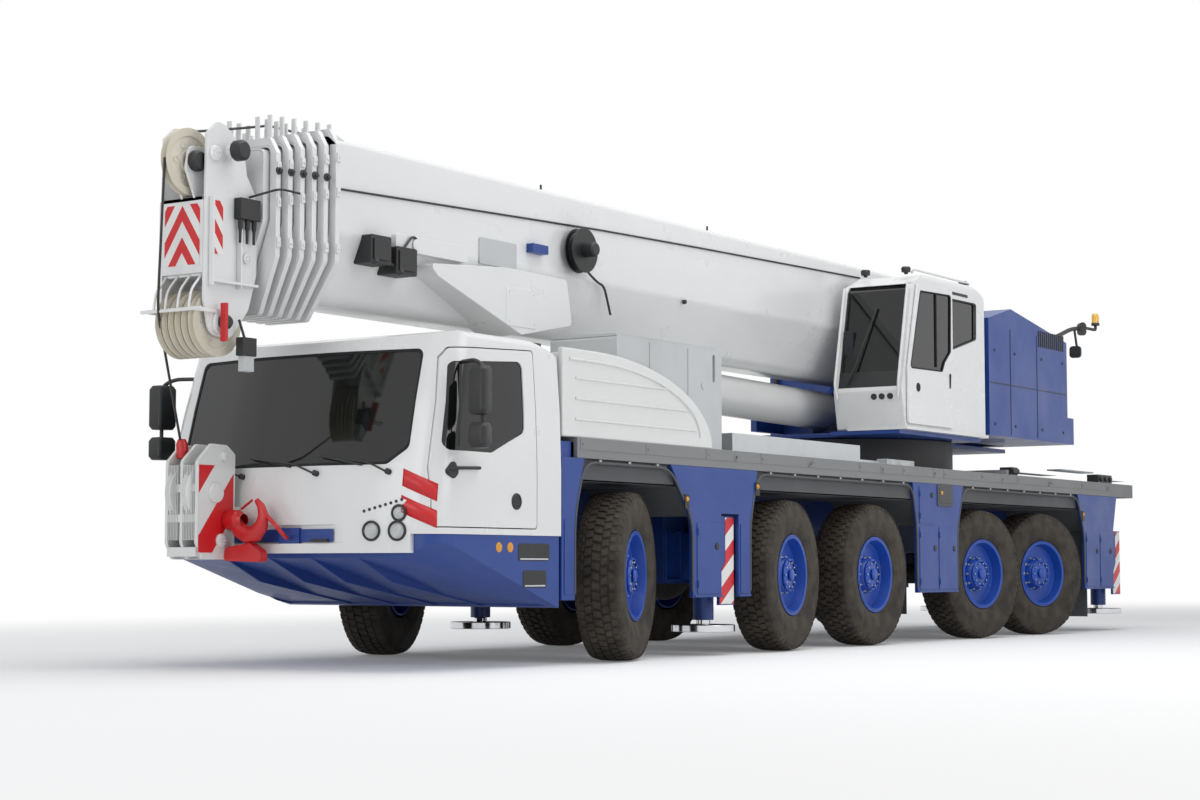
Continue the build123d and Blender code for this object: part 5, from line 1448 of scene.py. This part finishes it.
bm = bmesh.new()
tube(bm, 0, -8.65, collar_x + collar_t)
for cut_co, cut_no in ((at(-8.70, 0, 3.60), (-0.42, 0, 0.55)), (at(-8.70, 0, 3.05), (-0.55, 0, -1.15))):
    cut_by(bm, cut_co, cut_no, clear_outer=True)
collar(bm, 0, collar_x)
lathe(bm, [(0.108, -0.57), (0.108, 0.57)], at(-8.35, 0, 3.25), (0, 1, 0), 40)
lathe(bm, [(0.07, -0.19), (0.07, 0.19)], at(-1.9, 0, 2.47), (0, 1, 0), 40)
for side in (1, -1):
    slab(bm, rounded([(-2.25, 2.74), (-2.01, 2.36), (-1.79, 2.36), (-1.55, 2.74)], [0, 0.09, 0.09, 0]), 1,
         side * 0.13, side * 0.19)
piece("boom_base_shell", bm, "boom", [boom_white], 0.004, ["boom_base"], 25)
for level in range(1, 6):
    bm = bmesh.new()
    rear = -8.65 + 0.56 + 0.06 * level
    x = collar_x + collar_step * level
    tube(bm, level, rear, x + collar_t)
    collar(bm, level, x)
    piece(f"boom_section_{level}_shell", bm, f"boom_section_{level}", [boom_white], 0.003,
          [f"boom_section_{level}"], 25)
    # the black cable eye on the near side of each collar, and its grommet
    bm = bmesh.new()
    edge = boom_half - nest * level + 0.05
    lathe(bm, [(0.030, 0), (0.030, 0.012), (0.016, 0.016), (0.016, 0.03), (0.010, 0.032), (0, 0.032)],
          at(x + collar_t / 2, edge, 3.60), (0, 1, 0), 20)
    piece(f"cable_eye_{level}", bm, f"boom_section_{level}", [black_plastic], 0.0)

# Fittings along the left of the base section, screwed to welded pads: two black sensor boxes, a pod,
# a cover panel, the wedge box and the cable reel, with hoses, lines and aerials.
bm = bmesh.new()
y, depth = boom_half, 0.09
for front, rear, low, high in ((2.29, 2.05, 3.02, 3.235), (1.99, 1.74, 2.97, 3.18)):
    rounded_plate(bm, front, rear, low, high, y - 0.2, y + depth, 0.015)
    brick(bm, front - 0.03, rear + 0.03, y + depth, y + depth + 0.012, low + 0.03, high - 0.03)
    lathe(bm, [(0.03, 0), (0.03, 0.05), (0.02, 0.055), (0, 0.055)],
          at(front - 0.06, y + depth - 0.02, low + 0.05), (0, 0.3, -1), 16)
lathe(bm, [(0.04, 0), (0.04, 0.06)], at(-0.48, y - 0.01, 3.44), (0, 1, 0), 24)
for shift in (0.05, 0.125):
    lathe(bm, [(0.05, 0), (0.19, 0), (0.192, 0.004), (0.19, 0.009), (0.05, 0.009)],
          at(-0.48, y + shift, 3.44), (0, 1, 0), 48)
for index in range(6):
    lathe(bm, [(0.15, 0), (0.158, 0.005), (0.15, 0.010)], at(-0.48, y + 0.060 + index * 0.0105, 3.44),
          (0, 1, 0), 40)
lathe(bm, [(0.062, 0), (0.062, 0.10), (0.05, 0.115), (0, 0.115)], at(-0.48, y + 0.134, 3.44), (0, 1, 0), 28)
lathe(bm, [(0.02, 0), (0.02, 0.03), (0, 0.032)], at(-2.272, y, 2.937 + 0.25), (0, 1, 0), 16)
# cables from the boxes, hoses below the reel, the dark crease line and the aerials
pipe(bm, [at(1.86, y + 0.06, 3.18), at(1.75, y + 0.06, 3.30), at(1.62, y + 0.03, 3.22),
          at(1.2, y + 0.03, 3.18)], 0.010, 0.08, 8)
pipe(bm, [at(2.1, y + 0.05, 3.10), at(2.0, y + 0.07, 3.02), at(1.95, y + 0.05, 3.06)], 0.010, 0.05, 8)
pipe(bm, [at(-0.60, y + 0.05, 3.30), at(-0.75, y + 0.07, 3.20), at(-0.92, y + 0.03, 3.19),
          at(-1.05, y + 0.01, 2.95)], 0.011, 0.08, 8)
pipe(bm, [at(2.56, y + 0.008, 3.54), at(-0.887, y + 0.008, 3.677), at(-2.55, y + 0.008, 3.723),
          at(-5.8, y + 0.008, 3.799)], 0.009, 0.1, 6)
for x in (-0.35, -3.1):
    pipe(bm, [at(x, 0.2, boom_high - 0.002), at(x, 0.2, boom_high + 0.10)], 0.010, 0, 8)
piece("boom_base_fittings", bm, "boom", [black_plastic], 0.002)
bm = bmesh.new()
slab(bm, rounded([(1.62, 3.09), (1.50, 3.00), (0.40, 2.64), (-0.32, 2.78), (-0.24, 3.16), (0.60, 3.17)],
                 0.04), 1, y - 0.3, y + 0.11)
rounded_plate(bm, 1.94, 1.04, 3.16, 3.29, y - 0.05, y + 0.045, 0.03)
lathe(bm, [(0.05, 0), (0.05, 0.02), (0, 0.025)], at(1.7, y + 0.04, 3.22), (0, 1, 0), 20)
rounded_plate(bm, 0.62, 0.20, 2.70, 3.02, y + 0.105, y + 0.116, 0.02)
for x, z in ((0.58, 2.74), (0.58, 2.98), (0.24, 2.98), (0.24, 2.74)):
    bolt(bm, at(x, y + 0.115, z), (0, 1, 0), 0.010, 0.006)
piece("boom_wedge_box", bm, "boom", [boom_white], 0.008)
bm = bmesh.new()
rounded_plate(bm, 0.845, 0.34, 3.185, 3.40, y - 0.01, y + 0.012, 0.02)
piece("boom_cover_panel", bm, "boom", [tower_grey], 0.003)
bm = bmesh.new()
brick(bm, -0.03, 0.19, y - 0.01, y + 0.07, 3.351, 3.426)
piece("valve_box", bm, "boom", [panel_blue], 0.004)

# The boom head: two laser-cut cheeks on the innermost section, with a closing plate, guards, pins with
# black caps and nylon rope sheaves. Red and white sheeting marks its face.
# Cast nylon: warm cream and waxy. The turned grooves are duller and greased by the rope.
nylon = coated("cast cream nylon", "#D6D1C3", 0.42, dust="#8F8A7C", dust_share=0.3, peel_mm=3, clear=0.0)
nylon_cut = coated("turned cream nylon", "#CFC9B8", 0.5, dust="#6F6A60", dust_share=0.4, peel_mm=3,
                   clear=0.0)
tip = 3.962
sheave_r, cheek_out, cheek_t = 0.24, 0.22, 0.025
upper = (tip - sheave_r, 0.05, 3.60)
lower_x, lower_z = tip - 0.415, 2.47
face_x = tip - 0.27
back_x = collar_x + 6 * collar_step
bm = bmesh.new()
tube(bm, 6, -8.65 + 0.56 + 0.36, back_x)
slab(bm, section_edge(6.5), 0, back_x - 0.03, back_x)
cheek = [(back_x - 0.01, 3.39), (back_x + 0.10, 3.55), (back_x + 0.13, 3.73), (face_x - 0.17, 3.88),
         (face_x - 0.09, 3.894), (face_x + 0.015, 3.80), (face_x + 0.025, 2.62),
         (lower_x + 0.11, lower_z - 0.09),
         (lower_x - 0.10, lower_z - 0.11), (back_x + 0.07, 2.58), (back_x - 0.01, 2.84)]
radii = [0, 0.05, 0.06, 0.05, 0.04, 0.03, 0.05, 0.10, 0.10, 0.08, 0]
inner = cheek_out - cheek_t
for side in (1, -1):
    slab(bm, rounded(cheek, radii), 1, side * inner, side * cheek_out)
    brick(bm, lower_x, lower_x + sheave_r + 0.035, side * cheek_out, side * (cheek_out + 0.018),
          lower_z + 0.06, lower_z + 0.09)
    for x, z, radius in ((lower_x, lower_z, 0.09), (face_x - 0.06, 3.66, 0.055),
                         (back_x + 0.10, 2.95, 0.04)):
        lathe(bm, [(radius, -0.01), (radius, 0.016), (radius - 0.01, 0.02), (0, 0.02)],
              at(x, side * cheek_out, z), (0, side, 0), 28)
        bolt_ring(bm, at(x, side * (cheek_out + 0.018), z), (0, side, 0), radius - 0.02, 6, 0.008, 0.008,
                  start=0.5)
    # stiffeners welded to the outside of each cheek
    for x, z0, z1 in ((back_x + 0.19, 2.72, 3.30), (face_x - 0.02, 2.72, 3.35)):
        brick(bm, x - 0.007, x + 0.007, side * cheek_out, side * (cheek_out + 0.045), z0, z1)
    brick(bm, back_x + 0.02, face_x - 0.02, side * cheek_out, side * (cheek_out + 0.05), 2.745, 2.765)
brick(bm, face_x, face_x + 0.025, -inner, inner, 2.81, 3.35)
brick(bm, back_x + 0.13, face_x + 0.001, -inner, inner, 2.79, 2.815)
brick(bm, face_x - 0.12, face_x + 0.025, -inner, inner, 3.32, 3.35)
for y in (upper[1] - 0.07, upper[1] + 0.05):
    horn = [(face_x - 0.12, 3.34), (face_x + 0.025, 3.34), (upper[0] + 0.09, 3.54), (upper[0] + 0.06, 3.71),
            (face_x - 0.12, 3.71)]
    slab(bm, rounded(horn, [0, 0, 0.06, 0.06, 0]), 1, y, y + 0.02)
guard_x = lower_x + sheave_r + 0.03
pipe(bm, [at(guard_x, -cheek_out - 0.07, lower_z + 0.075), at(guard_x, cheek_out + 0.07, lower_z + 0.075)],
     0.014)
for y in (-0.17, -0.06, 0.06, 0.17):
    pipe(bm, [at(guard_x, y, lower_z + 0.075), at(guard_x - 0.02, y, lower_z + 0.21),
              at(face_x, y, lower_z + 0.33)], 0.010, 0.05, 8)
lathe(bm, [(0.045, -0.28), (0.045, 0.31)], at(face_x - 0.20, 0, 3.69), (0, 1, 0), 24)
piece("boom_head_frame", bm, "boom_head", [boom_white], 0.003, ["boom_head"], 25)


def sheave(bm, centre, half):
    """A cast nylon wheel: dished web with round holes' rims, grooved edge and a bearing."""
    groove = [(0.062, -half), (0.085, -half), (0.09, -0.014), (0.175, -0.014), (0.185, -half),
              (sheave_r, -half),
              (sheave_r - 0.004, -half + 0.005), (sheave_r - 0.032, -0.008), (sheave_r - 0.035, 0),
              (sheave_r - 0.032, 0.008), (sheave_r - 0.004, half - 0.005), (sheave_r, half), (0.185, half),
              (0.175, 0.014), (0.09, 0.014), (0.085, half), (0.062, half)]
    faces = lathe(bm, groove, centre, (0, 1, 0), 56)
    for face in faces:
        middle = face.calc_center_median() - centre
        if math.hypot(middle.x, middle.z) > sheave_r - 0.034:
            face.material_index = 1
    for index in range(6):
        turn = math.pi * index / 3
        for side in (1, -1):
            lathe(bm, [(0.026, 0.0), (0.026, 0.006), (0.020, 0.006), (0.020, 0.0)],
                  centre + Vector((math.cos(turn), 0, math.sin(turn))) * 0.132
                  + Vector((0, side * 0.013, 0)), (0, side, 0), 16)


sheave_half, lower_count, lower_row = 0.026, 6, 0.38
bm = bmesh.new()
sheave(bm, at(*upper), sheave_half)
for index in range(lower_count):
    sheave(bm, at(lower_x, lower_row * ((index + 0.5) / lower_count - 0.5), lower_z), sheave_half)
piece("rope_sheaves", bm, "boom_head", [nylon, nylon_cut], 0.0, ["head_sheaves"])
bm = bmesh.new()
lathe(bm, [(0.052, -0.07), (0.052, 0.06), (0.075, 0.06), (0.075, 0.11), (0.06, 0.13), (0, 0.13)], at(*upper),
      (0, 1, 0), 28)
lathe(bm, [(0.06, -0.012), (0.075, 0), (0.075, 0.06), (0.055, 0.08), (0, 0.08)],
      at(face_x - 0.20, 0.30, 3.69), (0, 1, 0), 28)
lathe(bm, [(0.05, 0), (0.05, 0.05), (0.035, 0.07), (0, 0.07)], at(lower_x, cheek_out + 0.015, lower_z),
      (0, 1, 0), 24)
# terminal box with its glands, the limit switch's bracket and the cables to both
brick(bm, back_x + 0.03, back_x + 0.23, cheek_out + 0.001, cheek_out + 0.07, 3.22, 3.37)
for x in (back_x + 0.06, back_x + 0.13, back_x + 0.20):
    lathe(bm, [(0.018, 0), (0.018, 0.06), (0.012, 0.08), (0.010, 0.17)], at(x, cheek_out + 0.035, 3.22),
          (0, 0, -1), 12)
brick(bm, lower_x - 0.24, lower_x - 0.10, cheek_out + 0.05, cheek_out + 0.12, 2.24, 2.37)
pipe(bm, [at(lower_x - 0.16, cheek_out + 0.08, 2.36), at(lower_x - 0.14, cheek_out + 0.04, 2.50)], 0.010)
pipe(bm, [at(back_x + 0.1, cheek_out + 0.02, 3.39), at(back_x - 0.05, 0.40, 3.46),
          at(back_x - 0.2, 0.46, 3.44)], 0.009, 0.05, 8)
piece("head_fittings", bm, "boom_head", [black_plastic], 0.002)
bm = bmesh.new()
brick(bm, lower_x - 0.22, lower_x - 0.12, cheek_out + 0.055, cheek_out + 0.115, 2.13, 2.24)
piece("limit_switch_box", bm, "boom_head", [tower_grey], 0.004)
bm = bmesh.new()
brick(bm, lower_x + 0.02, lower_x + 0.05, cheek_out + 0.04, cheek_out + 0.09, 2.33, 2.60)
piece("limit_lever", bm, "boom_head", [forged_red], 0.003)
for y0, y1, name in ((0.0, 0.17, "left"), (-0.17, 0.0, "right")):
    bm = banded([(y0, 2.87), (y1, 2.87), (y1, 3.30), (y0, 3.30)], 0, face_x + 0.0255,
                (0, 1.5 if y0 == 0 else -1.5, 1), 0.062, 0.03, 0.002)
    piece(f"head_chevrons_{name}", bm, "boom_head", [sheet_red, sheet_white], 0.0)
bm = banded([(face_x - 0.15, 2.95), (face_x - 0.04, 2.95), (face_x - 0.04, 3.33), (face_x - 0.15, 3.33)], 1,
            cheek_out + 0.001, (-1.4, 0, 1), 0.058, 0.02, 0.002)
piece("head_side_stripes", bm, "boom_head", [sheet_red, sheet_white], 0.0)
bm = bmesh.new()
rope_r = 0.0095
pipe(bm, [at(tip - 0.015, 0.05, 3.60), at(tip - 0.02, 0.03, 3.30), at(guard_x + 0.03, -0.1, 2.55),
          at(3.08, -0.62, 1.68)], rope_r, 0.1, 8)
pipe(bm, [at(back_x, 0.05, 3.93), at(upper[0] - 0.02, 0.05, upper[2] + sheave_r - 0.02)], rope_r, 0, 8)
piece("hoist_rope_fall", bm, "boom_head", [rope_steel], 0.0)
bm = bmesh.new()
pipe(bm, [at(back_x, 0.05, 3.93), at(collar_x + 0.3, 0.05, 4.0), at(-4.0, 0.05, 3.99), at(-8.2, 0.05, 3.97)],
     rope_r, 0, 8)
brick(bm, -3.93, -3.87, -0.02, 0.12, boom_high, 4.0)
piece("hoist_rope_run", bm, "boom", [rope_steel], 0.0)

# The luffing cylinder: a thick steel barrel, painted white with the boom, with its gland and its
# foot on a pin of the turntable, and a ground and chromed rod with its eye under the boom.
piece("luff_barrel_tube", borrowed("luff_barrel"), "luff_barrel", [block_white], 0.006,
      ["luff_barrel"])
piece("luff_rod_shaft", borrowed("luff_rod"), "luff_rod", [chrome], 0.003, ["luff_rod"])


low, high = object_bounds()
